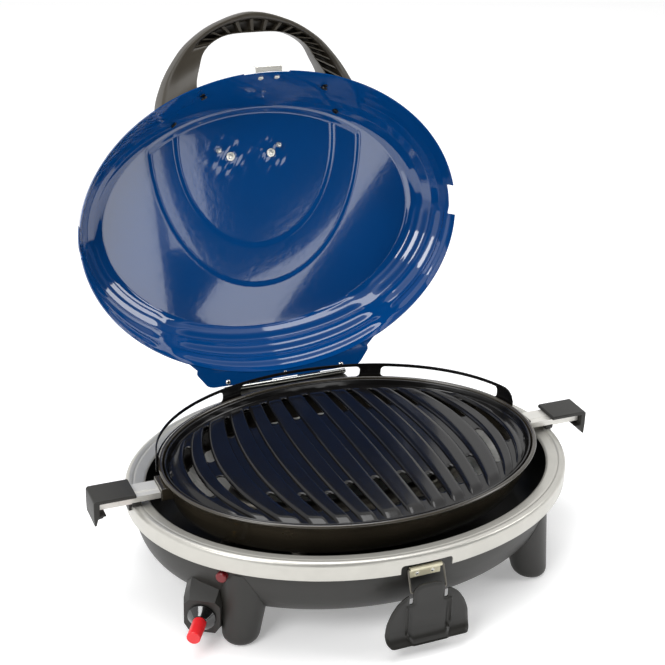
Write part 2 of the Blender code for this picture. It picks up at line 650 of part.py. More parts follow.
leaf_z = LID_EDGE + 0.0015
leaf_outline = [(-0.0770, 0.1806), (0.0770, 0.1806), (0.0770, 0.1888), (0.0455, 0.1888),
                (0.0455, 0.1920), (0.0160, 0.1920), (0.0160, 0.1888), (-0.0160, 0.1888),
                (-0.0160, 0.1920), (-0.0455, 0.1920), (-0.0455, 0.1888), (-0.0770, 0.1888)]
leaf = finish("hinge_lid_leaf",
              prism(leaf_outline, (0, 0, 0), (1, 0, 0), (0, 1, 0), leaf_z, leaf_z + 0.0010),
              "lid", "chrome")
combine(leaf, cutter("lid_knuckles", join(knuckles(LID_KNUCKLES)), "lid"), "UNION")
pin = turned([(0.0, -0.0775), (0.0013, -0.0775), (0.0013, 0.0775), (0.0, 0.0775)],
             HINGE, (1, 0, 0), 12)
finish("hinge_pin", pin, "base", "steel")
flange = [(-0.0770, 0.0950), (0.0770, 0.0950), (0.0770, 0.1115), (0.0460, 0.1115),
          (0.0460, 0.1086), (0.0155, 0.1086), (0.0155, 0.1115), (-0.0155, 0.1115),
          (-0.0155, 0.1086), (-0.0460, 0.1086), (-0.0460, 0.1115), (-0.0770, 0.1115)]
base_leaf = finish("hinge_base_leaf",
                   prism(flange, (0, 0, 0), (1, 0, 0), (0, 0, 1), -0.1955, -0.1945),
                   "base", "chrome")
combine(base_leaf, cutter("base_knuckles", join(knuckles(BASE_KNUCKLES))), "UNION")
pad = []
for i in range(13):
    x = -0.0780 + 0.1560 * i / 12
    pad.append((x, (RIM_B + GAP) * math.sqrt(1 - (x / (RIM_A + GAP)) ** 2)))
pad = pad + [(0.0780, 0.1942), (-0.0780, 0.1942)]
finish("hinge_bracket", prism(pad, (0, 0, 0), (1, 0, 0), (0, 1, 0), 0.0920, 0.1070),
       "base", "bowl_paint")

for i, x in enumerate((-0.0720, 0.0, 0.0720)):
    rivet("lid_rivet_%d" % (i + 1), (x, 0.1838, LID_EDGE - GAP), (0, 0, -1), 0.0024, 0.0014,
          "lid", "chrome")

keeper = [(-0.1690, 0.1128), (-0.1762, 0.1128), (-0.1772, 0.1140), (-0.1772, 0.1198),
          (-0.1762, 0.1204), (-0.1762, 0.1140), (-0.1690, 0.1140)]
keeper = prism(keeper, (0, 0, 0), (0, 1, 0), (0, 0, 1), -0.0160, 0.0160)
keeper = finish("latch_keeper", keeper, "lid", "chrome")
combine(keeper, cutter("lid_space_keeper", lid_space(GAP), "lid"))

# ---------------------------------------------------------------- handle
HANDLE = (((0.1150, -0.1050), (0.0700, -0.1300), 0.1300, 0.1710),
          ((0.1215, -0.1300), (0.0790, -0.1560), 0.1340, 0.1720),
          ((0.1120, -0.1590), (0.0700, -0.1800), 0.1470, 0.1720),
          ((0.0970, -0.1830), (0.0620, -0.1950), 0.1520, 0.1730),
          ((0.0765, -0.2050), (0.0470, -0.2060), 0.1545, 0.1740),
          ((0.0440, -0.2245), (0.0290, -0.2115), 0.1560, 0.1740))
sections = list(HANDLE)
crown = ((0.0, -0.2355), (0.0, -0.2125), 0.1560, 0.1740)
mirrored = [((-a[0], a[1]), (-b[0], b[1]), low, high) for a, b, low, high in sections[::-1]]
rings = []
for outer_at, inner_at, low, high in sections + [crown] + mirrored:
    corner = 0.22
    ring = []
    for across, up in ((corner, 0.0), (1 - corner, 0.0), (1.0, corner), (1.0, 1 - corner),
                       (1 - corner, 1.0), (corner, 1.0), (0.0, 1 - corner), (0.0, corner)):
        x = outer_at[0] + (inner_at[0] - outer_at[0]) * across
        y = outer_at[1] + (inner_at[1] - outer_at[1]) * across
        ring.append((x, y, low + (high - low) * up))
    rings.append(ring)
handle = finish("lid_handle", loft(rings), "lid", "handle_plastic")
combine(handle, cutter("lid_space_handle", lid_space(GAP), "lid"))


def on_lid(turn_deg, rise):
    """A point on the inner face of the lid, and the way in."""
    turn = math.radians(turn_deg)
    along = lid_point(rise, turn + 0.01) - lid_point(rise, turn - 0.01)
    up = lid_point(rise + 0.02, turn) - lid_point(rise - 0.02, turn)
    return lid_point(rise, turn), up.cross(along).normalized()


for name, turn, rise in (("handle_screw_lower_left", -109.8, 0.30),
                         ("handle_screw_lower_right", -70.2, 0.30),
                         ("handle_screw_upper_left", -120.7, 0.88),
                         ("handle_screw_upper_right", -59.3, 0.88)):
    spot, inward = on_lid(turn, rise)
    rivet(name, spot + inward * 0.0006, inward, 0.0032, 0.0016, "lid", "black_plastic")
for name, turn in (("keeper_rivet_left", -91.9), ("keeper_rivet_right", -86.9)):
    spot, inward = on_lid(turn, 0.15)
    rivet(name, spot + inward * 0.0005, inward, 0.0025, 0.0013, "lid", "chrome")

TOP = LID_EDGE + LID_RISE
for name, x, y, radius in (("badge_stud_left", -0.0460, -0.0790, 0.0022),
                           ("badge_stud_right", 0.0290, -0.0795, 0.0022),
                           ("badge_screw_left", -0.0320, -0.0710, 0.0040),
                           ("badge_screw_right", 0.0186, -0.0710, 0.0040)):
    height = 0.0040 if radius < 0.003 else 0.0030
    rivet(name, (x, y, TOP - GAP), (0, 0, -1), radius, height, "lid", "chrome")
badge = []
for i in range(24):
    turn = 2.0 * math.pi * i / 24
    badge.append((-0.0085 + 0.0480 * math.cos(turn), -0.0750 + 0.0160 * math.sin(turn)))
lid_top = TOP + LID_SHEET
finish("lid_badge", prism(badge, (0, 0, 0), (1, 0, 0), (0, 1, 0), lid_top + GAP, lid_top + 0.0020),
       "lid", "chrome")

# ---------------------------------------------------------------- latch
plate_section = [(-0.1824, 0.0794), (-0.1824, 0.0905)]
for angle in range(0, 241, 30):
    turn = math.radians(angle)
    plate_section.append((BAIL_Y + 0.0026 * math.cos(turn), BAIL_Z + 0.0026 * math.sin(turn)))
for angle in range(240, -1, -30):
    turn = math.radians(angle)
    plate_section.append((BAIL_Y + 0.0015 * math.cos(turn), BAIL_Z + 0.0015 * math.sin(turn)))
plate_section.append((-0.1835, 0.0794))
plate_section.pop(1)
form = prism(plate_section, (0, 0, 0), (0, 1, 0), (0, 0, 1), -0.0172, 0.0172)
finish("latch_plate", form, "base", "chrome")
for name, x in (("latch_rivet_left", -0.0085), ("latch_rivet_right", 0.0085)):
    rivet(name, (x, -0.1838, 0.0840), (0, -1, 0), 0.0022, 0.0010, "base", "chrome")

bail_path = [(-0.0142, LEVER_Y, LEVER_Z), (-0.0192, LEVER_Y, LEVER_Z), (-0.0192, BAIL_Y, BAIL_Z),
             (0.0192, BAIL_Y, BAIL_Z), (0.0192, LEVER_Y, LEVER_Z), (0.0142, LEVER_Y, LEVER_Z)]
wire("latch_bail", rounded_path(bail_path, 0.0018, 3), 0.0010, "bail", "chrome")

half = [(0.0, 0.0784), (0.0080, 0.0784), (0.0140, 0.0762), (0.0172, 0.0720), (0.0172, 0.0575),
        (0.0212, 0.0575), (0.0212, 0.0682), (0.0260, 0.0660), (0.0335, 0.0600), (0.0400, 0.0500),
        (0.0445, 0.0380), (0.0458, 0.0260), (0.0450, 0.0160), (0.0420, 0.0112), (0.0395, 0.0104)]
outline = half + [(-x, z) for x, z in half[:0:-1]]
lever = finish("latch_lever", prism(outline, (0, 0, 0), (1, 0, 0), (0, 0, 1), 0.1950, 0.1976),
               "lever", "black_plastic")
extras = [turned([(0.0, start), (0.0028, start), (0.0028, end), (0.0, end)], LEVER_AXIS, (1, 0, 0),
                 14) for start, end in ((-0.0174, -0.0110), (0.0110, 0.0174))]
for side in (-1, 1):
    rib = [(side * 0.0228, 0.0560), (side * 0.0246, 0.0560), (side * 0.0238, 0.0350),
           (side * 0.0238, 0.0125), (side * 0.0218, 0.0125), (side * 0.0218, 0.0350)]
    extras.append(prism(rib, (0, 0, 0), (1, 0, 0), (0, 0, 1), 0.1970, 0.1992))
extras.append(prism([(-0.0170, 0.0170), (0.0170, 0.0170), (0.0170, 0.0188), (-0.0170, 0.0188)],
                    (0, 0, 0), (1, 0, 0), (0, 0, 1), 0.1970, 0.2095))
combine(lever, cutter("lever_extras", join(extras), "lever"), "UNION")
holes = [turned([(0.0, start), (0.0014, start), (0.0014, end), (0.0, end)], LEVER_AXIS, (1, 0, 0),
                10) for start, end in ((-0.0200, -0.0136), (0.0136, 0.0200))]
combine(lever, cutter("lever_holes", join(holes), "lever"))
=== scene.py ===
"""Looks of the folding camp grill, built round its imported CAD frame.

Shells are drawn about the middle of the silver rim, with the lid closed. settle() moves them into
the row frame: MID_Y puts the rim where the CAD has it, and lid pieces are turned to the rest pose.
"""

import json
import math

import bmesh
import bpy
import numpy as np
from mathutils import Matrix, Vector


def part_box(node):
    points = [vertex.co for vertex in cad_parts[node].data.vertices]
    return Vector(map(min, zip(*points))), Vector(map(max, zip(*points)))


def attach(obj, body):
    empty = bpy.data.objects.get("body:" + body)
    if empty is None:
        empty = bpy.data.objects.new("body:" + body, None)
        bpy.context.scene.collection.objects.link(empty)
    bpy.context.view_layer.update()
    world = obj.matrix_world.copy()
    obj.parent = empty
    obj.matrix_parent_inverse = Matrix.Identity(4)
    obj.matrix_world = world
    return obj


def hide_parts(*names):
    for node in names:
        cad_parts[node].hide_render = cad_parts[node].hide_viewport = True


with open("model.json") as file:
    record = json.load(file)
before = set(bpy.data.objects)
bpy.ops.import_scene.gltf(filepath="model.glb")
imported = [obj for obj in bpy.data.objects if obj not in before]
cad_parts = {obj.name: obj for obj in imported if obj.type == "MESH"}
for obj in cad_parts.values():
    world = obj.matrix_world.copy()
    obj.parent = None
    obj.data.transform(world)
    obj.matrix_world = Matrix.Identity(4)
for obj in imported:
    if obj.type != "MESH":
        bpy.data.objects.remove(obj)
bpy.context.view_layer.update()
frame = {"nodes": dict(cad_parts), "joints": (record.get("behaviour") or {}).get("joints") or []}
JOINTS = {joint["name"]: joint for joint in frame["joints"]}
NODES = frame["nodes"]

# ---------------------------------------------------------------- sizes, from the frame
RIM_LOW, RIM_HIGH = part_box("rim_ring")
MID_Y = (RIM_LOW[1] + RIM_HIGH[1]) / 2
RIM_A = RIM_HIGH[0]
RIM_B = (RIM_HIGH[1] - RIM_LOW[1]) / 2
RIM_TOP = RIM_HIGH[2]
PAN_LOW, PAN_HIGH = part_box("pan_shell")
PAN_A = PAN_HIGH[0]
PAN_B = (PAN_HIGH[1] - PAN_LOW[1]) / 2
PAN_Y = (PAN_HIGH[1] + PAN_LOW[1]) / 2 - MID_Y
PLATE_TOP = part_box("grill_plate")[0][2] + 0.0022
HINGE = Vector(JOINTS["lid_hinge"]["pos_m"])
LID_OPEN = math.radians(JOINTS["lid_hinge"]["range_deg"][1])
TO_OPEN = (Matrix.Translation(HINGE) @ Matrix.Rotation(-LID_OPEN, 4, "X")
           @ Matrix.Translation(-HINGE))

BOWL_LEVEL, BOWL_DEEP, BOWL_TUCK, BOWL_OFF = 0.0884, 0.0590, 0.0360, 0.0083
BOWL_TOP, SHEET = 0.1046, 0.0020
LID_A, LID_B, LID_Y, LID_EDGE = 0.2311, 0.1743, 0.0043, 0.1126
LID_IN_A, LID_IN_B, LID_RISE, LID_SHEET = 0.0386, 0.0423, 0.0608, 0.0012
FOOT_X, FOOT_Y, LEG_TOP = 0.1664, 0.1155, 0.0804
LEG_NORMAL = (0.643, 0.766)


def srgb(red, green, blue):
    """A linear colour from 0-255 display values."""
    out = []
    for value in (red, green, blue):
        value = value / 255.0
        out.append(value / 12.92 if value <= 0.04045 else ((value + 0.055) / 1.055) ** 2.4)
    return (out[0], out[1], out[2], 1.0)


# ---------------------------------------------------------------- materials
def surface(name, colour, rough, metal=0.0, coat=0.0, coat_rough=0.05, mottle=(30.0, 0.08),
            grain=(900.0, 0.02), spread=0.06, brushed=None, specular=0.5):
    """A painted, moulded or plated finish: colour drifts slowly, gloss and bump have fine grain."""
    made = bpy.data.materials.new(name)
    made.use_nodes = True
    nodes, links = made.node_tree.nodes, made.node_tree.links
    shader = nodes["Principled BSDF"]
    where = nodes.new("ShaderNodeTexCoord")
    place = nodes.new("ShaderNodeMapping")
    links.new(where.outputs["Object"], place.inputs["Vector"])
    if brushed:
        place.inputs["Scale"].default_value = brushed
    drift = nodes.new("ShaderNodeTexNoise")
    drift.inputs["Scale"].default_value = mottle[0]
    drift.inputs["Detail"].default_value = 4.0
    links.new(where.outputs["Object"], drift.inputs["Vector"])
    fine = nodes.new("ShaderNodeTexNoise")
    fine.inputs["Scale"].default_value = grain[0]
    fine.inputs["Detail"].default_value = 3.0
    links.new(place.outputs["Vector"], fine.inputs["Vector"])
    tint = nodes.new("ShaderNodeValToRGB")
    low = [channel * (1.0 - mottle[1]) for channel in colour[:3]]
    high = [min(1.0, channel * (1.0 + mottle[1])) for channel in colour[:3]]
    tint.color_ramp.elements[0].position = 0.3
    tint.color_ramp.elements[1].position = 0.7
    tint.color_ramp.elements[0].color = (*low, 1.0)
    tint.color_ramp.elements[1].color = (*high, 1.0)
    links.new(drift.outputs["Fac"], tint.inputs["Fac"])
    links.new(tint.outputs["Color"], shader.inputs["Base Color"])
    gloss = nodes.new("ShaderNodeMapRange")
    gloss.inputs["To Min"].default_value = max(0.02, rough - spread)
    gloss.inputs["To Max"].default_value = min(1.0, rough + spread)
    links.new(fine.outputs["Fac"], gloss.inputs["Value"])
    links.new(gloss.outputs["Result"], shader.inputs["Roughness"])
    bump = nodes.new("ShaderNodeBump")
    bump.inputs["Strength"].default_value = 1.0
    bump.inputs["Distance"].default_value = grain[1] * 0.001
    links.new(fine.outputs["Fac"], bump.inputs["Height"])
    links.new(bump.outputs["Normal"], shader.inputs["Normal"])
    shader.inputs["Metallic"].default_value = metal
    shader.inputs["Specular IOR Level"].default_value = specular
    shader.inputs["Coat Weight"].default_value = coat
    shader.inputs["Coat Roughness"].default_value = coat_rough
    return made


LID_BLUE = surface("lid_enamel_blue", srgb(3, 66, 128), 0.055, coat=0.7, coat_rough=0.02,
                   mottle=(6.0, 0.05), grain=(150.0, 0.030), spread=0.015, specular=0.5)
ENAMEL = surface("pan_enamel_black", srgb(17, 16, 16), 0.20, coat=0.18, coat_rough=0.08,
                 mottle=(14.0, 0.20), grain=(260.0, 0.012), spread=0.05, specular=0.34)
PAN_BROWN = surface("pan_wall_enamel", srgb(50, 45, 36), 0.20, coat=0.55, coat_rough=0.08,
                    mottle=(18.0, 0.25), grain=(200.0, 0.05))
BOWL_PAINT = surface("bowl_satin_grey", srgb(37, 36, 33), 0.44, mottle=(40.0, 0.06),
                     grain=(1500.0, 0.04), specular=0.45)
RIM_SILVER = surface("rim_silver_paint", srgb(192, 190, 183), 0.34, metal=0.60,
                     mottle=(60.0, 0.03), grain=(2500.0, 0.03), specular=0.5)
CHROME = surface("bright_plating", srgb(205, 205, 200), 0.16, metal=1.0, mottle=(25.0, 0.08),
                 grain=(300.0, 0.02), brushed=(1.0, 12.0, 12.0))
ZINC = surface("channel_zinc", srgb(216, 214, 208), 0.30, metal=0.45, mottle=(40.0, 0.06),
               grain=(400.0, 0.02), brushed=(1.0, 12.0, 12.0))
BRIGHT = surface("keeper_nickel", srgb(226, 224, 216), 0.24, metal=0.6, mottle=(60.0, 0.05))
# latch plate and eyelets: bright plating, with the cream of the lit lip as a painted highlight over
# the whole plate
CREAM_PAINTED_HIGHLIGHT = surface("latch_plating_cream_painted_highlight", srgb(226, 219, 190), 0.32, metal=0.2, mottle=(90.0, 0.06))
TRAY = surface("tray_aluminium", srgb(232, 231, 226), 0.40, metal=0.10, mottle=(30.0, 0.08),
               grain=(400.0, 0.03), brushed=(1.0, 8.0, 1.0))
STEEL = surface("burner_steel", srgb(120, 116, 108), 0.38, metal=1.0, mottle=(50.0, 0.25),
                grain=(500.0, 0.04))
BRASS = surface("gas_brass", srgb(178, 142, 66), 0.28, metal=1.0, mottle=(80.0, 0.12))
GRIP = surface("grip_black_plastic", srgb(34, 33, 30), 0.46, mottle=(60.0, 0.07),
               grain=(2200.0, 0.06), specular=0.4)
LEVER = surface("lever_black_plastic", srgb(29, 28, 25), 0.42, mottle=(40.0, 0.10),
                grain=(1400.0, 0.05), specular=0.45)
HANDLE = surface("handle_taupe_plastic", srgb(56, 51, 42), 0.40, mottle=(24.0, 0.08),
                 grain=(1800.0, 0.04), specular=0.5)
BLACK = surface("screw_black", srgb(30, 29, 27), 0.35, metal=0.4, mottle=(200.0, 0.15))
GLOSS = surface("collar_gloss_black", srgb(18, 18, 18), 0.10, coat=0.8, mottle=(60.0, 0.10))
RED = surface("cap_red_plastic", srgb(226, 36, 42), 0.34, mottle=(90.0, 0.05),
              grain=(1200.0, 0.03))
# igniter button: its own red plastic, darkened as painted shade for the shade it sits in under the
# rim
RED_IN_PAINTED_SHADE = surface("button_red_painted_shade", srgb(112, 18, 24), 0.34, mottle=(90.0, 0.10))
CERAMIC = surface("electrode_ceramic", srgb(232, 226, 212), 0.30, mottle=(120.0, 0.05))
LEAD_GREY = surface("badge_satin_metal", srgb(176, 178, 182), 0.30, metal=1.0,
                    mottle=(40.0, 0.08), brushed=(1.0, 20.0, 20.0))


# ---------------------------------------------------------------- mesh helpers
def grid_faces(rows, cols, wrap_cols=True, wrap_rows=False, skip=None):
    faces = []
    for r in range(rows if wrap_rows else rows - 1):
        for c in range(cols if wrap_cols else cols - 1):
            if skip and skip(r, c):
                continue
            r2, c2 = (r + 1) % rows, (c + 1) % cols
            faces.append((r * cols + c, r * cols + c2, r2 * cols + c2, r2 * cols + c))
    return faces


def stacked(rows, count):
    """Faces of rings stacked on each other, with the first and last ring capped."""
    faces = grid_faces(rows, count)
    faces.append(tuple(range(count)))
    faces.append(tuple(range((rows - 1) * count, rows * count)))
    return faces


def make(name, points, faces, material, sharp=35.0):
    mesh = bpy.data.meshes.new(name)
    mesh.from_pydata([tuple(point) for point in points], [], faces)
    obj = bpy.data.objects.new(name, mesh)
    bpy.context.scene.collection.objects.link(obj)
    form = bmesh.new()
    form.from_mesh(mesh)
    bmesh.ops.recalc_face_normals(form, faces=form.faces)
    form.to_mesh(mesh)
    form.free()
    mesh.materials.append(material)
    shade(obj, sharp)
    return obj


def shade(obj, sharp=35.0):
    obj.data.shade_smooth()
    obj.data.set_sharp_from_angle(angle=math.radians(sharp))
    return obj


def oval(half_x, half_y, mid_y, z, count):
    turn = np.linspace(0.0, 2.0 * math.pi, count, endpoint=False)
    return np.stack([half_x * np.cos(turn), mid_y + half_y * np.sin(turn),
                     np.full(count, z)], axis=1)


def fillet(points, radius, steps=4, closed=True):
    """Corner points with each corner rounded by a short curve."""
    points = [np.array(point, float) for point in points]
    count = len(points)
    out = []
    for i, corner in enumerate(points):
        if not closed and i in (0, count - 1):
            out.append(corner)
            continue
        back = points[i - 1] - corner
        on = points[(i + 1) % count] - corner
        reach = min(radius, 0.45 * np.linalg.norm(back), 0.45 * np.linalg.norm(on))
        back = back / np.linalg.norm(back) * reach
        on = on / np.linalg.norm(on) * reach
        for k in range(steps + 1):
            share = k / steps
            out.append(corner + back * (1 - share) ** 2 + on * share ** 2)
    return out


def oval_ring(name, profile, half_x, half_y, mid_y, material, count=192, closed=True, sharp=35.0):
    """A profile of (inward offset, z) carried round an oval; open profiles are capped."""
    rings = [oval(half_x - d, half_y - d, mid_y, z, count) for d, z in profile]
    faces = grid_faces(len(rings), count, True, True) if closed else stacked(len(rings), count)
    return make(name, np.concatenate(rings), faces, material, sharp)


def prism(name, outline, frame_of, start, end, material, sharp=35.0):
    """An outline pushed between two depths; frame_of turns (a, b, depth) into a point."""
    count = len(outline)
    points = [frame_of(a, b, start) for a, b in outline] + [frame_of(a, b, end) for a, b in outline]
    faces = [tuple(range(count)), tuple(range(2 * count - 1, count - 1, -1))]
    faces += [(i, (i + 1) % count, count + (i + 1) % count, count + i) for i in range(count)]
    return make(name, points, faces, material, sharp)


def plan(a, b, depth):
    return (a, b, depth)


def front(a, b, depth):
    return (a, depth, b)


def side(a, b, depth):
    return (depth, a, b)


def carve(obj, tool, sharp=35.0):
    """A cut that is worked out at once, so no cutter is left."""
    step = obj.modifiers.new("carve", "BOOLEAN")
    step.operation = "DIFFERENCE"
    step.solver = "EXACT"
    step.object = tool
    bake(obj)
    bpy.data.objects.remove(tool)
    return shade(obj, sharp)


def bake(obj):
    bpy.context.view_layer.update()
    ready = obj.evaluated_get(bpy.context.evaluated_depsgraph_get())
    mesh = bpy.data.meshes.new_from_object(ready)
    obj.modifiers.clear()
    obj.data = mesh
    return obj


def soften(obj, width, segments):
    step = obj.modifiers.new("soft_edges", "BEVEL")
    step.width = width
    step.segments = segments
    step.limit_method = "ANGLE"
    step.angle_limit = math.radians(30.0)
    step.harden_normals = True
    return obj


def join(objects, name):
    """Several drawn meshes as one piece, materials kept."""
    form = bmesh.new()
    slots = []
    for obj in objects:
        bake(obj)
        start = len(form.faces)
        form.from_mesh(obj.data)
        form.faces.ensure_lookup_table()
        for face in form.faces[start:]:
            material = obj.data.materials[face.material_index]
            if material not in slots:
                slots.append(material)
            face.material_index = slots.index(material)
    mesh = bpy.data.meshes.new(name)
    form.to_mesh(mesh)
    form.free()
    for material in slots:
        mesh.materials.append(material)
    for obj in objects:
        bpy.data.objects.remove(obj)
    made = bpy.data.objects.new(name, mesh)
    bpy.context.scene.collection.objects.link(made)
    return made


def settle(obj, body, *stands_for, lid=False):
    """Moves a drawn piece into the row frame and ties it to its CAD body and nodes."""
    obj.data.transform(Matrix.Translation((0.0, MID_Y, 0.0)))
    if lid:
        obj.data.transform(TO_OPEN)
    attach(obj, body)
    if stands_for:
        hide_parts(*stands_for)
    return obj


def dress(node, material, width=0.0, segments=2, sharp=40.0):
    """A CAD piece with its own finish and softened edges."""
    obj = NODES[node]
    obj.data.materials.clear()
    obj.data.materials.append(material)
    if "custom_normal" in obj.data.attributes:
        obj.data.attributes.remove(obj.data.attributes["custom_normal"])
    weld = obj.modifiers.new("weld", "WELD")
    weld.merge_threshold = 1e-5
    shade(obj, sharp)
    if width:
        soften(obj, width, segments)
    return obj


# ---------------------------------------------------------------- bowl, rim and legs
BOWL_LEVELS = 26


def bowl_wall(thick):
    """The bowl's side and floor curve, drawn in by a thickness."""
    wall = []
    for i in range(BOWL_LEVELS):
        turn = math.radians(90.0 * i / (BOWL_LEVELS - 1))
        tuck = (BOWL_TUCK - thick) * (1.0 - math.cos(turn))
        wall.append((BOWL_OFF + thick + tuck, BOWL_LEVEL - (BOWL_DEEP - thick) * math.sin(turn)))
    return wall


def bowl_space(grow):
    """The space inside the bowl's outer face, which trims what meets it from below."""
    wall = [(d - grow, z - grow) for d, z in bowl_wall(0.0)]
    return oval_ring("bowl_space", [(BOWL_OFF - grow, 0.130)] + wall, RIM_A, RIM_B, 0.0,
                     BOWL_PAINT, 160, False)


profile = (bowl_wall(0.0)[::-1] + [(BOWL_OFF, BOWL_TOP), (BOWL_OFF + SHEET, BOWL_TOP)]
           + bowl_wall(SHEET))
bowl = oval_ring("bowl_shell", profile, RIM_A, RIM_B, 0.0, BOWL_PAINT, 192, False)
settle(bowl, "base", "bowl")

rim_profile = [(0.0000, 0.0885), (0.0000, 0.1045), (0.0012, 0.1072), (0.0040, RIM_TOP),
               (0.0074, 0.1080), (0.0088, 0.1064), (0.0106, 0.1067), (0.0196, 0.1050),
               (0.0217, 0.1031), (0.0205, 0.1022), (0.0190, 0.1034), (0.0106, 0.1051),
               (0.0044, 0.1060), (0.0020, 0.1038), (0.0016, 0.0885)]
rim = oval_ring("rim_band", fillet(rim_profile, 0.0011, 3), RIM_A, RIM_B, 0.0, RIM_SILVER, 256)
notch = fillet([(-0.0280, 0.0800), (0.0280, 0.0800), (0.0280, 0.0984), (-0.0280, 0.0984)], 0.0042,
               6)
carve(rim, prism("notch", notch, front, -0.200, -0.180, RIM_SILVER))
settle(rim, "base", "rim_ring")

LEG_COUNT, LEG_LEAN = 96, 0.0175
LEG_FOOT = [(0.0, 0.0108), (0.0006, 0.0135), (0.0020, 0.0160), (0.0042, 0.0179), (0.0072, 0.0191),
            (0.0110, 0.0196)]
LEG_CONE = [(0.0110 + (LEG_TOP - 0.0110) * i / 8, 0.0196 + 0.0084 * i / 8) for i in range(1, 9)]
for side_x, side_y, name in ((-1, -1, "front_left"), (1, -1, "front_right"),
                             (-1, 1, "rear_left"), (1, 1, "rear_right")):
    out = np.array((LEG_NORMAL[0] * side_x, LEG_NORMAL[1] * side_y, 0.0))
    foot = np.array((FOOT_X * side_x, FOOT_Y * side_y, 0.0))
    rings = [oval(radius, radius, 0.0, z, LEG_COUNT) + foot - out * LEG_LEAN * z / LEG_TOP
             for z, radius in LEG_FOOT + LEG_CONE]
    leg = make("leg_cone_" + name, np.concatenate(rings), stacked(len(rings), LEG_COUNT),
               BOWL_PAINT)
    carve(leg, bowl_space(0.0002))
    settle(leg, "base", "leg_" + name)

# ---------------------------------------------------------------- pan ring and guard
pan_profile = [(0.0000, 0.1280), (0.0004, 0.1263), (0.0028, 0.1246), (0.0060, 0.1180),
               (0.0085, 0.1080), (0.0125, 0.0970), (0.0165, 0.0880), (0.0181, 0.0880),
               (0.0142, 0.0972), (0.0102, 0.1080), (0.0090, 0.1146), (0.0165, 0.1146),
               (0.0165, 0.1160), (0.0078, 0.1163), (0.0056, 0.1235), (0.0048, 0.1284),
               (0.0024, 0.1296)]
pan = oval_ring("pan_wall", fillet(pan_profile, 0.0016, 3), PAN_A, PAN_B, PAN_Y, PAN_BROWN, 256)
settle(pan, "pan", "pan_shell")

GUARD_LOW, GUARD_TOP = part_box("guard_rail")[0][2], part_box("guard_rail")[1][2]
WINDOWS = ((17.0, 62.5), (69.5, 110.5), (117.5, 163.0))
WINDOW_CORNER, GUARD_OUT, GUARD_TILT = 0.0046, 0.0017, 0.0016


def guard_levels(turn):
    """Heights of the band at this angle: foot, window bottom, window top, top edge."""
    ease = min(1.0, max(0.0, (min(turn, 180.0 - turn) - 8.0) / 6.0))
    top = GUARD_LOW + 0.0065 + (GUARD_TOP - GUARD_LOW - 0.0065) * math.sqrt(1 - (1 - ease) ** 2)
    low, high = GUARD_LOW + 0.0032, GUARD_TOP - 0.0038
    for start, end in WINDOWS:
        if start <= turn <= end:
            near = math.radians(min(turn - start, end - turn)) * 0.19
            short = max(0.0, WINDOW_CORNER - near)
            arc = WINDOW_CORNER - math.sqrt(max(0.0, WINDOW_CORNER ** 2 - short ** 2))
            return GUARD_LOW, low + arc, high - arc, top, True
    upper = max(low + 0.0048, min(high - WINDOW_CORNER, top - 0.0005))
    return GUARD_LOW, low + WINDOW_CORNER, upper, top, False


turns = set(np.arange(8.0, 172.01, 1.0))
for start, end in WINDOWS:
    for step in (0.0, 0.05, 0.2, 0.45, 0.8, 1.1, 1.4):
        turns |= {start + step, end - step}
turns = sorted(turns)
points, cells = [], []
for turn in turns:
    lean = math.radians(turn)
    for z in guard_levels(turn)[:4]:
        tilt = GUARD_TILT * math.sin(lean) ** 4 * (z - GUARD_LOW) / (GUARD_TOP - GUARD_LOW)
        points.append(((PAN_A + GUARD_OUT) * math.cos(lean),
                       PAN_Y + (PAN_B + GUARD_OUT) * math.sin(lean) - tilt, z))
for i in range(len(turns) - 1):
    hole = guard_levels((turns[i] + turns[i + 1]) / 2)[4]
    for k in range(3):
        if not (hole and k == 1):
            cells.append((i * 4 + k, i * 4 + 4 + k, i * 4 + 5 + k, i * 4 + 1 + k))
guard = make("guard_band", points, cells, ENAMEL)
skin = guard.modifiers.new("skin", "SOLIDIFY")
skin.thickness = 0.0012
skin.offset = 0.0
bake(guard)
soften(shade(guard), 0.0003, 2)
settle(guard, "pan", "guard_rail")

# ---------------------------------------------------------------- slotted plate
BARS = (0.0, 0.031, 0.060, 0.088, 0.118, 0.151, 0.176)
KNOTS = {0.0: (-0.119, -0.063, 0.082, 0.134), 0.031: (-0.119, -0.063, 0.081, 0.133),
         0.060: (-0.113, -0.075, 0.079, 0.130), 0.088: (-0.104, -0.068, 0.079, 0.122),
         0.118: (-0.095, -0.055, 0.068, 0.112), 0.151: (-0.078, -0.005, 0.024, 0.100),
         0.176: (-0.040, 0.010, 0.012, 0.062)}
SLOT_HALF, FLANK, LAND = 0.0052, 0.0026, 0.0032
PLATE_A, PLATE_B = PAN_A - 0.0120, PAN_B - 0.0120


def bow(x, y):
    """Where the line that starts at x has bowed to at this y."""
    share = abs(x) / BARS[-1]
    return x * (1.0 - (8.0 + 10.0 * share ** 3) * y * y)


def reach(u, sign):
    """Where the bowed line from u meets the edge of the plate."""
    low, high = 0.0, PLATE_B + 0.002
    for _ in range(40):
        y = (low + high) / 2
        inside = (bow(u, sign * y) / PLATE_A) ** 2 + ((sign * y - PAN_Y) / PLATE_B) ** 2 < 1.0
        low, high = (y, high) if inside else (low, y)
    return sign * low


def knots_at(u):
    """Slot ends for the line at u, blended between the bars; rounded inside a slot."""
    size = min(abs(u), BARS[-1])
    for near, far in zip(BARS, BARS[1:]):
        if size <= far:
            share = min(1.0, max(0.0, (size - near - SLOT_HALF) / (far - near - 2 * SLOT_HALF)))
            ends = [a + (b - a) * share for a, b in zip(KNOTS[near], KNOTS[far])]
            middle = near if size - near < far - size else far
            break
    off = min(SLOT_HALF, abs(abs(u) - middle))
    pull = SLOT_HALF - math.sqrt(SLOT_HALF ** 2 - off ** 2)
    front_end, rear_end = reach(u, -1), reach(u, 1)
    ends = [ends[0] + pull, ends[1] - pull, ends[2] + pull, ends[3] - pull]
    low, high = front_end * 0.97, rear_end * 0.97
    ends = [min(max(end, low), high) for end in ends]
    return [front_end] + ends + [rear_end]


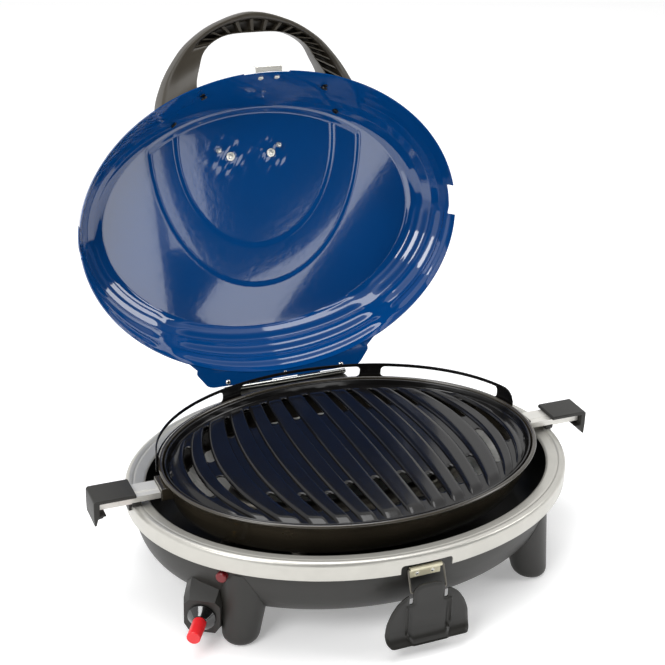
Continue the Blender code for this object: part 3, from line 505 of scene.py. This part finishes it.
steps = [-SLOT_HALF, -0.0048, -0.0036, -0.0018, 0.0, 0.0018, 0.0036, 0.0048, SLOT_HALF]
flanks = [SLOT_HALF + FLANK * share for share in (0.12, 0.3, 0.5, 0.7, 0.88, 1.0)]
columns = set()
for bar in BARS:
    for sign in ((1,) if bar == 0.0 else (-1, 1)):
        for step in steps + flanks + [-value for value in flanks]:
            columns.add(round(sign * bar + step, 6))
for near, far in zip(BARS, BARS[1:]):
    for share in (0.35, 0.5, 0.65):
        columns |= {round(near + (far - near) * share, 6), round(-near - (far - near) * share, 6)}
for share in (0.45, 0.6, 0.72, 0.83, 0.92, 0.98, 1.0):
    outside = BARS[-1] + (PLATE_A - BARS[-1]) * share
    columns |= {outside, -outside}
columns = sorted(columns)
SPANS = (10, 12, 26, 12, 10)
row_marks = np.concatenate([[0]] + [k + np.arange(1, span + 1) / span
                                    for k, span in enumerate(SPANS)])


def plate_height(u, y, ends):
    """Low in the slots' lines and at the plate's edge, raised on the bars between them."""
    gap = min(abs(abs(u) - bar) for bar in BARS)
    rise = min(1.0, max(0.0, (gap - SLOT_HALF) / FLANK))
    rise = rise * rise * (3 - 2 * rise)
    edge = min(y - ends[0], ends[5] - y)
    side_edge = (PLATE_A - abs(u)) * 0.9
    fade = min(1.0, max(0.0, (min(edge, side_edge) - 0.003) / 0.012))
    return PLATE_TOP + LAND * rise * fade * fade * (3 - 2 * fade)


points = []
for u in columns:
    ends = knots_at(u)
    for mark in row_marks:
        k = min(4, int(mark))
        y = ends[k] + (ends[k + 1] - ends[k]) * (mark - k)
        points.append((bow(u, y), y, plate_height(u, y, ends)))


def in_slot(column, row):
    """Whether this cell of the plate is open."""
    u = (columns[column] + columns[column + 1]) / 2
    gap, bar = min((abs(abs(u) - bar), bar) for bar in BARS)
    span = int((row_marks[row] + row_marks[row + 1]) / 2)
    return gap < SLOT_HALF and (span in (1, 3) or (bar == BARS[-1] and span == 2))


plate = make("plate_top", points,
             grid_faces(len(columns), len(row_marks), False, False, in_slot), ENAMEL, 60.0)
skin = plate.modifiers.new("skin", "SOLIDIFY")
skin.thickness = 0.0020
skin.offset = -1.0 if plate.data.polygons[0].normal.z > 0 else 1.0
lip_profile = [(0.0165, PLATE_TOP - 0.0004), (0.0120, PLATE_TOP - 0.0001), (0.0100, 0.1212),
               (0.0086, 0.1272), (0.0075, 0.1280), (0.0064, 0.1270), (0.0079, 0.1196),
               (0.0112, PLATE_TOP - 0.0022), (0.0165, PLATE_TOP - 0.0022)]
lip = oval_ring("plate_lip", fillet(lip_profile, 0.0012, 3), PAN_A, PAN_B, PAN_Y, ENAMEL, 256)
settle(join([plate, lip], "slotted_plate"), "plate", "grill_plate")

# ---------------------------------------------------------------- reflector tray, ridged
TRAY_COUNT, TRAY_A, TRAY_B, RIDGES = 1140, 0.1850, 0.1310, 95.0
turn = np.linspace(0.0, 2.0 * math.pi, TRAY_COUNT, endpoint=False)
rings = []
for offset, z, ridge in ((0.0350, 0.0658, 0.0), (0.0330, 0.0672, 0.2), (0.0200, 0.0790, 1.0),
                         (0.0080, 0.0900, 1.0), (0.0015, 0.0960, 1.0), (0.0022, 0.0970, 1.0),
                         (0.0090, 0.0905, 1.0), (0.0212, 0.0795, 1.0), (0.0345, 0.0675, 0.2),
                         (0.0362, 0.0672, 0.0)):
    ripple = 0.0007 * ridge * np.sin(turn * RIDGES)
    rings.append(np.stack([(TRAY_A - 0.0009 * ridge - offset + ripple) * np.cos(turn),
                           (TRAY_B - 0.0009 * ridge - offset + ripple) * np.sin(turn),
                           np.full(TRAY_COUNT, z)], axis=1))
tray = make("ridged_tray", np.concatenate(rings), stacked(len(rings), TRAY_COUNT), TRAY, 50.0)
settle(tray, "base", "reflector_tray")

# ---------------------------------------------------------------- lid
LID_SIDE = ((0.0, 0.0), (0.16, 0.02), (0.34, 0.07), (0.54, 0.16), (0.72, 0.30), (0.87, 0.50),
            (0.965, 0.75), (1.0, 1.0))
RIB_ARCS = ((1.0, 49.0), (52.0, 126.0), (129.0, 179.0))
RIB_LEVELS = (0.26, 0.60, 0.88)
RIB_HIGH, REAR_BOW = 0.0028, 0.34
PANEL_STEP = 0.0050
RING_DROP, RING_SLOPE, INNER_DROP, INNER_SLOPE = 0.0012, 0.036, 0.0010, 0.022

STUDS = ((-0.0320, -0.0710), (0.0186, -0.0710))
DENT_REACH, DENT_DEEP = 0.017, 0.00011


def smooth(value):
    value = np.clip(value, 0.0, 1.0)
    return value * value * (3.0 - 2.0 * value)


def lid_share(rise, turn):
    """How far the wall has come in at this height: curved at the sides, sloped front and rear."""
    upright = np.interp(rise, [r for r, _ in LID_SIDE], [s for _, s in LID_SIDE])
    sloped = np.sin(turn) ** 2
    bowed = REAR_BOW * rise * (1.0 - rise) * np.clip(np.sin(turn), 0.0, 1.0) ** 2
    return upright + (rise - upright) * sloped - bowed


def ribs(rise, turn):
    """How far the pressed ribs stand in from the wall."""
    angle = np.degrees(turn) % 360.0
    along = np.zeros_like(angle)
    for start, end in RIB_ARCS:
        along = np.maximum(along, smooth((angle - start) / 6.0) * smooth((end - angle) / 6.0))
    across = np.zeros_like(angle)
    for level in RIB_LEVELS:
        across = np.maximum(across, smooth(1.30 - np.abs(rise - level) / 0.115))
    return along * across * RIB_HIGH


def lid_wall(rise, turn, grow, pressed=True):
    """Points of the wall at one height, moved out by grow."""
    share = lid_share(rise, turn)
    inset = ribs(rise, turn) if pressed else 0.0
    x = (LID_A - LID_IN_A * share + grow - inset) * np.cos(turn)
    y = LID_Y + (LID_B - LID_IN_B * share + grow - inset) * np.sin(turn)
    z = LID_EDGE + (LID_RISE - PANEL_STEP) * rise + grow * rise
    return np.stack([x, y, z + 0.0 * x], axis=1)


def d_edge(x, y, half, deep):
    """Signed distance, in metres, outside a D that is open to the front."""
    up = np.maximum(y + 0.090, 0.0)
    return (np.sqrt((x / half) ** 2 + (up / deep) ** 2) - 1.0) * min(half, deep)


def lid_panel(x, y):
    """Height above the outer panel: two dished D-shaped steps, and folds round the studs."""
    out_far = d_edge(x, y, 0.131, 0.176)
    in_far = d_edge(x, y, 0.098, 0.128)
    outer = smooth(0.5 - out_far / 0.0040)
    inner = smooth(0.5 - in_far / 0.0050)
    band = RING_DROP + RING_SLOPE * np.clip(-out_far, 0.0, 0.034)
    inward = np.clip(-in_far, 0.0, 0.098) / 0.098
    dish = INNER_DROP + INNER_SLOPE * 0.049 * (1.0 - (1.0 - inward) ** 2)
    reach_in = np.sqrt((x / (LID_A - LID_IN_A)) ** 2 + ((y - LID_Y) / (LID_B - LID_IN_B)) ** 2)
    fade = smooth((0.985 - reach_in) / 0.05)
    dents = 0.0
    for stud_x, stud_y in STUDS:
        far = ((x - stud_x) ** 2 + (y - stud_y) ** 2) / DENT_REACH ** 2
        folds = (np.sin(330.0 * x + 90.0 * y) + np.sin(260.0 * y - 150.0 * x + 0.7)
                 + 0.6 * np.sin(520.0 * x + 410.0 * y))
        dents = dents + DENT_DEEP * np.minimum(far * 4.0, 1.0) * np.exp(-far) * folds
    return (band * outer + dish * inner) * fade + dents


LID_COUNT = 480


def lid_sheet(grow):
    """Rings of the lid's wall and panel, moved out by grow."""
    turn = np.linspace(0.0, 2.0 * math.pi, LID_COUNT, endpoint=False)
    rings = [lid_wall(np.full(LID_COUNT, rise), turn, grow)
             for rise in np.concatenate([np.linspace(0.0, 0.94, 64), [0.965, 0.985, 0.996]])]
    for share in np.concatenate([[1.0, 0.993], np.linspace(0.985, 0.02, 120)]):
        x = (LID_A - LID_IN_A + grow) * share * np.cos(turn)
        y = LID_Y + (LID_B - LID_IN_B + grow) * share * np.sin(turn)
        crown = 0.0004 * (1.0 - share ** 2)
        z = LID_EDGE + LID_RISE - PANEL_STEP + grow + crown + lid_panel(x, y)
        rings.append(np.stack([x, y, z], axis=1))
    return rings


rings = lid_sheet(0.0)[::-1] + lid_sheet(LID_SHEET)
lid = make("lid_dome", np.concatenate(rings), stacked(len(rings), LID_COUNT), LID_BLUE, 50.0)
for sign in (-1, 1):
    gap = fillet([(-0.0180, 0.1000), (0.0180, 0.1000), (0.0180, 0.1262), (-0.0180, 0.1262)],
                 0.0025, 4)
    carve(lid, prism("gap", gap, side, *sorted((sign * 0.205, sign * 0.245)), LID_BLUE), sharp=50.0)
recess = fillet([(-0.0300, 0.1000), (0.0250, 0.1000), (0.0250, 0.1146), (-0.0300, 0.1146)], 0.0015,
                3)
carve(lid, prism("recess", recess, front, -0.190, -0.150, LID_BLUE), sharp=50.0)

tab_side = [(0.1185, 0.1515), (0.1080, 0.1650), (0.1090, 0.1700), (0.0970, 0.1860),
            (0.0900, 0.1885)]
root = [(x, LID_Y + (LID_B + 0.0004) * math.sqrt(1 - (x / (LID_A + 0.0004)) ** 2))
        for x in (-0.1185 + 0.237 * i / 40 for i in range(41))]
outline = fillet(tab_side[1:] + [(-x, y) for x, y in tab_side[:0:-1]], 0.0030, 4, False)
tab = prism("tab", root + [tuple(point) for point in outline], plan, LID_EDGE, LID_EDGE + 0.0012,
            LID_BLUE)
lid = join([lid, tab], "lid_dome")
shade(lid, 50.0)
settle(lid, "lid", "lid_shell", lid=True)


def lid_space(grow):
    """The space inside the lid's outer face, which trims the handle."""
    count = 160
    turn = np.linspace(0.0, 2.0 * math.pi, count, endpoint=False)
    rings = [lid_wall(np.full(count, rise), turn, LID_SHEET + grow, False)
             for rise in np.linspace(0.0, 1.0, 24)]
    rings[0][:, 2] -= 0.004
    rings[-1][:, 2] += grow
    return make("lid_space", np.concatenate(rings), stacked(len(rings), count), LID_BLUE)


# ---------------------------------------------------------------- arched handle
HALF = (((0.1150, -0.1050), (0.0700, -0.1300), 0.1300, 0.1710),
        ((0.1215, -0.1300), (0.0790, -0.1560), 0.1340, 0.1720),
        ((0.1120, -0.1590), (0.0700, -0.1800), 0.1470, 0.1720),
        ((0.0970, -0.1830), (0.0620, -0.1950), 0.1520, 0.1730),
        ((0.0765, -0.2050), (0.0470, -0.2060), 0.1545, 0.1740),
        ((0.0440, -0.2245), (0.0290, -0.2115), 0.1560, 0.1740))
CROWN = (((0.0, -0.2355), (0.0, -0.2125), 0.1560, 0.1740),)
mirrored = tuple(((-a[0], a[1]), (-b[0], b[1]), low, high) for a, b, low, high in HALF[::-1])
sections = [np.array([a[0], a[1], b[0], b[1], low, high])
            for a, b, low, high in HALF + CROWN + mirrored]


def spline(values, share):
    """Catmull-Rom through equally spaced rows."""
    place = share * (len(values) - 1)
    i = min(int(place), len(values) - 2)
    t = place - i
    p0, p1 = values[max(i - 1, 0)], values[i]
    p2, p3 = values[i + 1], values[min(i + 2, len(values) - 1)]
    return 0.5 * (2 * p1 + (p2 - p0) * t + (2 * p0 - 5 * p1 + 4 * p2 - p3) * t ** 2
                  + (3 * p1 - p0 - 3 * p2 + p3) * t ** 3)


def channel_depth(share):
    """How deep the underside is hollowed: right leg and crown are open, the left leg is solid."""
    return 0.70 * float(smooth((share - 0.04) / 0.08) * smooth((0.72 - share) / 0.10))


HANDLE_RINGS, FINS = 129, 17
rings = []
for i in range(HANDLE_RINGS):
    share = i / (HANDLE_RINGS - 1)
    ax, ay, bx, by, low, high = spline(sections, share)
    deep = channel_depth(share)
    corner = fillet([(0.0, 0.0), (0.34, 0.0), (0.40, deep), (0.90, deep), (0.96, 0.06 * (deep > 0)),
                     (1.0, 0.06 * (deep > 0)), (1.0, 1.0), (0.0, 1.0)], 0.16, 4)
    rings.append(np.array([(ax + (bx - ax) * c[0], ay + (by - ay) * c[0],
                            low + (high - low) * c[1]) for c in corner]))
handle = make("handle_arch", np.concatenate(rings), stacked(HANDLE_RINGS, len(corner)), HANDLE,
              40.0)
carve(handle, lid_space(0.0002), sharp=40.0)
fins = [handle]
for i in range(FINS):
    share = 0.09 + 0.60 * i / (FINS - 1)
    deep = channel_depth(share)
    cuts = []
    for step in (-0.0042, 0.0042):
        ax, ay, bx, by, low, high = spline(sections, share + step)
        cuts.append([(ax + (bx - ax) * c, ay + (by - ay) * c, low + (high - low) * d)
                     for c, d in ((0.36, 0.16 * deep), (0.93, 0.22 * deep), (0.93, deep + 0.05),
                                  (0.36, deep + 0.05))])
    fins.append(make("fin", cuts[0] + cuts[1],
                     [(0, 1, 2, 3), (7, 6, 5, 4), (0, 4, 5, 1), (1, 5, 6, 2), (2, 6, 7, 3),
                      (3, 7, 4, 0)], HANDLE))
handle = join(fins, "handle_arch")
shade(handle, 40.0)
settle(handle, "lid", "lid_handle", lid=True)

# ---------------------------------------------------------------- toggle lever and latch plate
LEVER_HALF = ((0.0, 0.0784), (0.0080, 0.0784), (0.0140, 0.0762), (0.0172, 0.0720), (0.0172, 0.0575),
              (0.0212, 0.0575), (0.0212, 0.0682), (0.0260, 0.0660), (0.0335, 0.0600),
              (0.0400, 0.0500), (0.0445, 0.0380), (0.0458, 0.0260), (0.0450, 0.0160),
              (0.0420, 0.0112), (0.0395, 0.0104))
outline = fillet(list(LEVER_HALF) + [(-x, z) for x, z in LEVER_HALF[:0:-1]], 0.0030, 4)
LEVER_FACE = -0.1976
U_LINE = ((-0.0236, 0.0560), (-0.0238, 0.0300), (-0.0226, 0.0220), (-0.0190, 0.0150),
          (0.0190, 0.0150), (0.0226, 0.0220), (0.0238, 0.0300), (0.0236, 0.0560))


def near_line(x, z, line):
    """Distance from a point to a line of straight runs."""
    best = np.full(x.shape, 9.0)
    for (ax, az), (bx, bz) in zip(line, line[1:]):
        run = (bx - ax) ** 2 + (bz - az) ** 2
        share = np.clip(((x - ax) * (bx - ax) + (z - az) * (bz - az)) / run, 0.0, 1.0)
        best = np.minimum(best, np.hypot(x - ax - share * (bx - ax), z - az - share * (bz - az)))
    return best


lever = prism("lever_plate", outline, front, LEVER_FACE, LEVER_FACE + 0.0026, LEVER)
form = bmesh.new()
form.from_mesh(lever.data)
cuts = [((0, 0, 0.0112 + k * 0.00112), (0, 0, 1)) for k in range(60)]
cuts += [((-0.0452 + k * 0.00113, 0, 0), (1, 0, 0)) for k in range(81)]
for at, across in cuts:
    bmesh.ops.bisect_plane(form, geom=form.verts[:] + form.edges[:] + form.faces[:], plane_co=at,
                           plane_no=across)
form.verts.ensure_lookup_table()
x = np.array([vert.co.x for vert in form.verts])
z = np.array([vert.co.z for vert in form.verts])
shown = np.array([vert.co.y < LEVER_FACE + 0.001 for vert in form.verts])
curl = 0.0095 * np.clip((0.0290 - z) / 0.0186, 0.0, 1.0) ** 2
rib = smooth(1.6 - near_line(x, z, U_LINE) / 0.0009) * 0.0028
edge = near_line(x, z, [(px, pz) for px, pz in outline] + [tuple(outline[0])])
roll = 0.0012 * (1.0 - smooth(edge / 0.0035))
bulge = 0.0012 * smooth((0.0600 - z) / 0.02) * smooth((0.0215 - np.abs(x)) / 0.004)
for vert, c, r, e, g, face_side in zip(form.verts, curl, rib, roll, bulge, shown):
    vert.co.y -= c + (r - e + g if face_side else 0.0)
    vert.co.z += c * 0.47
form.to_mesh(lever.data)
form.free()
shade(lever, 50.0)
settle(lever, "lever", "latch_lever")


def disc(name, at, out, profile, material, count=40):
    """A turned piece from (radius, height) pairs; both ends are capped unless they meet."""
    out = Vector(out).normalized()
    side_way = out.orthogonal().normalized()
    other = out.cross(side_way)
    turns = [2.0 * math.pi * k / count for k in range(count)]
    points = [Vector(at) + out * height + side_way * radius * math.cos(turn)
              + other * radius * math.sin(turn) for radius, height in profile for turn in turns]
    meets = profile[0] == profile[-1]
    faces = grid_faces(len(profile), count) if meets else stacked(len(profile), count)
    return make(name, points, faces, material)


WASHER = ((0.0018, 0.0), (0.0050, 0.0), (0.0053, 0.0003), (0.0050, 0.0007), (0.0022, 0.0008),
          (0.0018, 0.0))
EYELET = ((0.0012, 0.0), (0.0030, 0.0), (0.0032, 0.0004), (0.0028, 0.0008), (0.0016, 0.0007),
          (0.0012, 0.0))
for name, (x, y) in zip(("left", "right"), STUDS):
    washer = disc("washer_" + name, (x, y, 0.0), (0, 0, -1), WASHER, BRIGHT)
    washer.data.transform(Matrix.Translation((0, 0, LID_EDGE + LID_RISE - 0.0012)))
    settle(washer, "lid", lid=True)

HANDLE_SCREWS = ("handle_screw_lower_left", "handle_screw_lower_right",
                 "handle_screw_upper_left", "handle_screw_upper_right")
SCREW_HEAD = ((0.0038, 0.0), (0.0038, 0.0016), (0.0033, 0.0022), (0.0019, 0.0022), (0.0017, 0.0012))
lid_middle = TO_OPEN @ Vector((0.0, LID_Y + MID_Y, LID_EDGE))
for node in HANDLE_SCREWS:
    spots = [NODES[node].matrix_world @ vert.co for vert in NODES[node].data.vertices]
    middle = sum(spots, Vector()) / len(spots)
    inward = (lid_middle - middle).normalized()
    tip = max((spot - middle).dot(inward) for spot in spots)
    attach(disc("screw_head", middle + inward * (tip + 0.0006), inward, SCREW_HEAD, BLACK), "lid")

# the eyelets share the latch plate's cream painted highlight
for sign in (-1, 1):
    settle(disc("eyelet", (sign * 0.0085, -0.1836, 0.0842), (0, -1, 0), EYELET, CREAM_PAINTED_HIGHLIGHT), "base")

# ---------------------------------------------------------------- dressed CAD pieces
for node in ("outer_channel_left", "outer_channel_right", "grip_rail_left", "grip_rail_right"):
    dress(node, ZINC, 0.0003)
for node in ("channel_bracket_left", "channel_bracket_right"):
    dress(node, PAN_BROWN, 0.0006)
for node in ("channel_foot_left", "channel_foot_right"):
    dress(node, GRIP, 0.0004)
for node in ("grip_cap_left", "grip_cap_right"):
    dress(node, GRIP, 0.0012, 3)
# the latch plate's cream is a painted highlight on its bright plating
dress("latch_plate", CREAM_PAINTED_HIGHLIGHT, 0.0002)
dress("latch_keeper", BRIGHT, 0.0002)
dress("latch_bail", STEEL)
for node in ("latch_rivet_left", "latch_rivet_right", "lid_rivet_1", "lid_rivet_2", "lid_rivet_3"):
    dress(node, CHROME, 0.0001)
for node in ("keeper_rivet_left", "keeper_rivet_right", "badge_stud_left", "badge_stud_right",
             "badge_screw_left", "badge_screw_right"):
    dress(node, BRIGHT, 0.0001)
for node in HANDLE_SCREWS:
    dress(node, BLACK, 0.0001)
dress("lid_badge", LEAD_GREY, 0.0004)
for node, more in (("keeper_rivet_left", 0.0009), ("keeper_rivet_right", 0.0009),
                   ("badge_stud_left", 0.0011), ("badge_stud_right", 0.0011),
                   ("lid_rivet_1", 0.0005), ("lid_rivet_2", 0.0005), ("lid_rivet_3", 0.0005)):
    swell = bpy.data.objects[node].modifiers.new("head", "DISPLACE")
    swell.strength, swell.mid_level = more, 0.0
for node in ("hinge_lid_leaf", "hinge_base_leaf"):
    dress(node, CHROME, 0.0001)
dress("hinge_pin", STEEL)
dress("hinge_bracket", BOWL_PAINT, 0.0006)
dress("valve_housing", BOWL_PAINT, 0.0012, 3)
for node in ("valve_body", "inlet_nipple", "gas_jet"):
    dress(node, BRASS, 0.0002)
dress("nozzle_collar", GLOSS, 0.0004)
dress("inlet_cap", RED, 0.0003)
# the igniter button's red carries painted shade from the rim above it
dress("igniter_button", RED_IN_PAINTED_SHADE, 0.0003)
dress("igniter_body", BLACK, 0.0003)
for node in ("burner_ring", "burner_post", "mixing_tube", "tray_stand_left", "tray_stand_right"):
    dress(node, STEEL)
dress("spark_electrode", CERAMIC, 0.0002)

# ---------------------------------------------------------------- stage, light and camera
WALL = bpy.data.materials.new("stage_white")
WALL.use_nodes = True
noise = WALL.node_tree.nodes.new("ShaderNodeTexNoise")
noise.inputs["Scale"].default_value = 3.0
ramp = WALL.node_tree.nodes.new("ShaderNodeValToRGB")
ramp.color_ramp.elements[0].color = (0.86, 0.86, 0.86, 1.0)
ramp.color_ramp.elements[1].color = (0.88, 0.88, 0.88, 1.0)
shader = WALL.node_tree.nodes["Principled BSDF"]
WALL.node_tree.links.new(noise.outputs["Fac"], ramp.inputs["Fac"])
WALL.node_tree.links.new(ramp.outputs["Color"], shader.inputs["Base Color"])
shader.inputs["Roughness"].default_value = 0.9
shader.inputs["Emission Color"].default_value = (1.0, 1.0, 1.0, 1.0)
shader.inputs["Emission Strength"].default_value = 0.30
floor = make("stage_floor", [(-6, -2.5, 0), (6, -2.5, 0), (6, 9, 0), (-6, 9, 0)],
             [(0, 1, 2, 3)], WALL)
bpy.context.scene.view_settings.view_transform = "Standard"

world = bpy.data.worlds.new("studio")
world.use_nodes = True
bpy.context.scene.world = world
sky = world.node_tree.nodes["Background"]
toward = world.node_tree.nodes.new("ShaderNodeTexCoord")
split = world.node_tree.nodes.new("ShaderNodeVectorMath")
split.operation = "DOT_PRODUCT"
split.inputs[1].default_value = (0.36, -0.93, 0.05)
dark = world.node_tree.nodes.new("ShaderNodeMapRange")
dark.interpolation_type = "SMOOTHSTEP"
dark.inputs["From Min"].default_value = 0.10
dark.inputs["From Max"].default_value = 0.62
dark.inputs["To Min"].default_value = 0.85
dark.inputs["To Max"].default_value = 0.02
world.node_tree.links.new(toward.outputs["Generated"], split.inputs[0])
world.node_tree.links.new(split.outputs["Value"], dark.inputs["Value"])
seen = world.node_tree.nodes.new("ShaderNodeLightPath")
pick = world.node_tree.nodes.new("ShaderNodeMix")
pick.inputs["B"].default_value = 1.0
world.node_tree.links.new(seen.outputs["Is Camera Ray"], pick.inputs["Factor"])
world.node_tree.links.new(dark.outputs["Result"], pick.inputs["A"])
world.node_tree.links.new(pick.outputs["Result"], sky.inputs["Strength"])
sky.inputs["Color"].default_value = (1.0, 1.0, 1.0, 1.0)


def softbox(name, at, aim, size, power, turn=0.0):
    lamp = bpy.data.lights.new(name, "AREA")
    lamp.shape = "RECTANGLE"
    lamp.size, lamp.size_y = size
    lamp.energy = power
    obj = bpy.data.objects.new(name, lamp)
    way = (Vector(aim) - Vector(at)).to_track_quat("-Z", "Y").to_matrix().to_4x4()
    obj.matrix_world = Matrix.Translation(at) @ way @ Matrix.Rotation(math.radians(turn), 4, "Z")
    bpy.context.scene.collection.objects.link(obj)
    return obj


softbox("key_left", (-1.9, -1.2, 2.0), (0.0, 0.0, 0.1), (1.2, 1.2), 36.0)
softbox("key_right", (2.3, -0.9, 1.7), (0.0, 0.0, 0.1), (1.2, 1.2), 24.0)
softbox("top", (0.0, 0.3, 2.6), (0.0, 0.0, 0.1), (1.8, 1.4), 30.0)
softbox("card_left", (0.34, -2.3, 0.34), (0.0, 0.2, 0.35), (0.44, 0.64), 2.6)
softbox("card_middle", (0.70, -2.3, 0.39), (0.0, 0.2, 0.35), (0.20, 0.30), 0.45)
softbox("card_right", (0.985, -2.3, 0.25), (0.0, 0.2, 0.35), (0.20, 0.74), 1.3, -43.0)

camera = bpy.data.cameras.new("camera")
camera.lens = 75.9
camera.sensor_width = 36.0
eye = bpy.data.objects.new("camera", camera)
right = Vector((0.9197, -0.3912, 0.0336))
up = Vector((0.1383, 0.4029, 0.9047))
ahead = Vector((0.3674, 0.8274, -0.4246))
pose = Matrix((right, up, -ahead)).transposed().to_4x4()
pose.translation = Vector((-0.5553, -1.1903 + MID_Y, 0.8753))
eye.matrix_world = pose
bpy.context.scene.collection.objects.link(eye)
bpy.context.scene.camera = eye
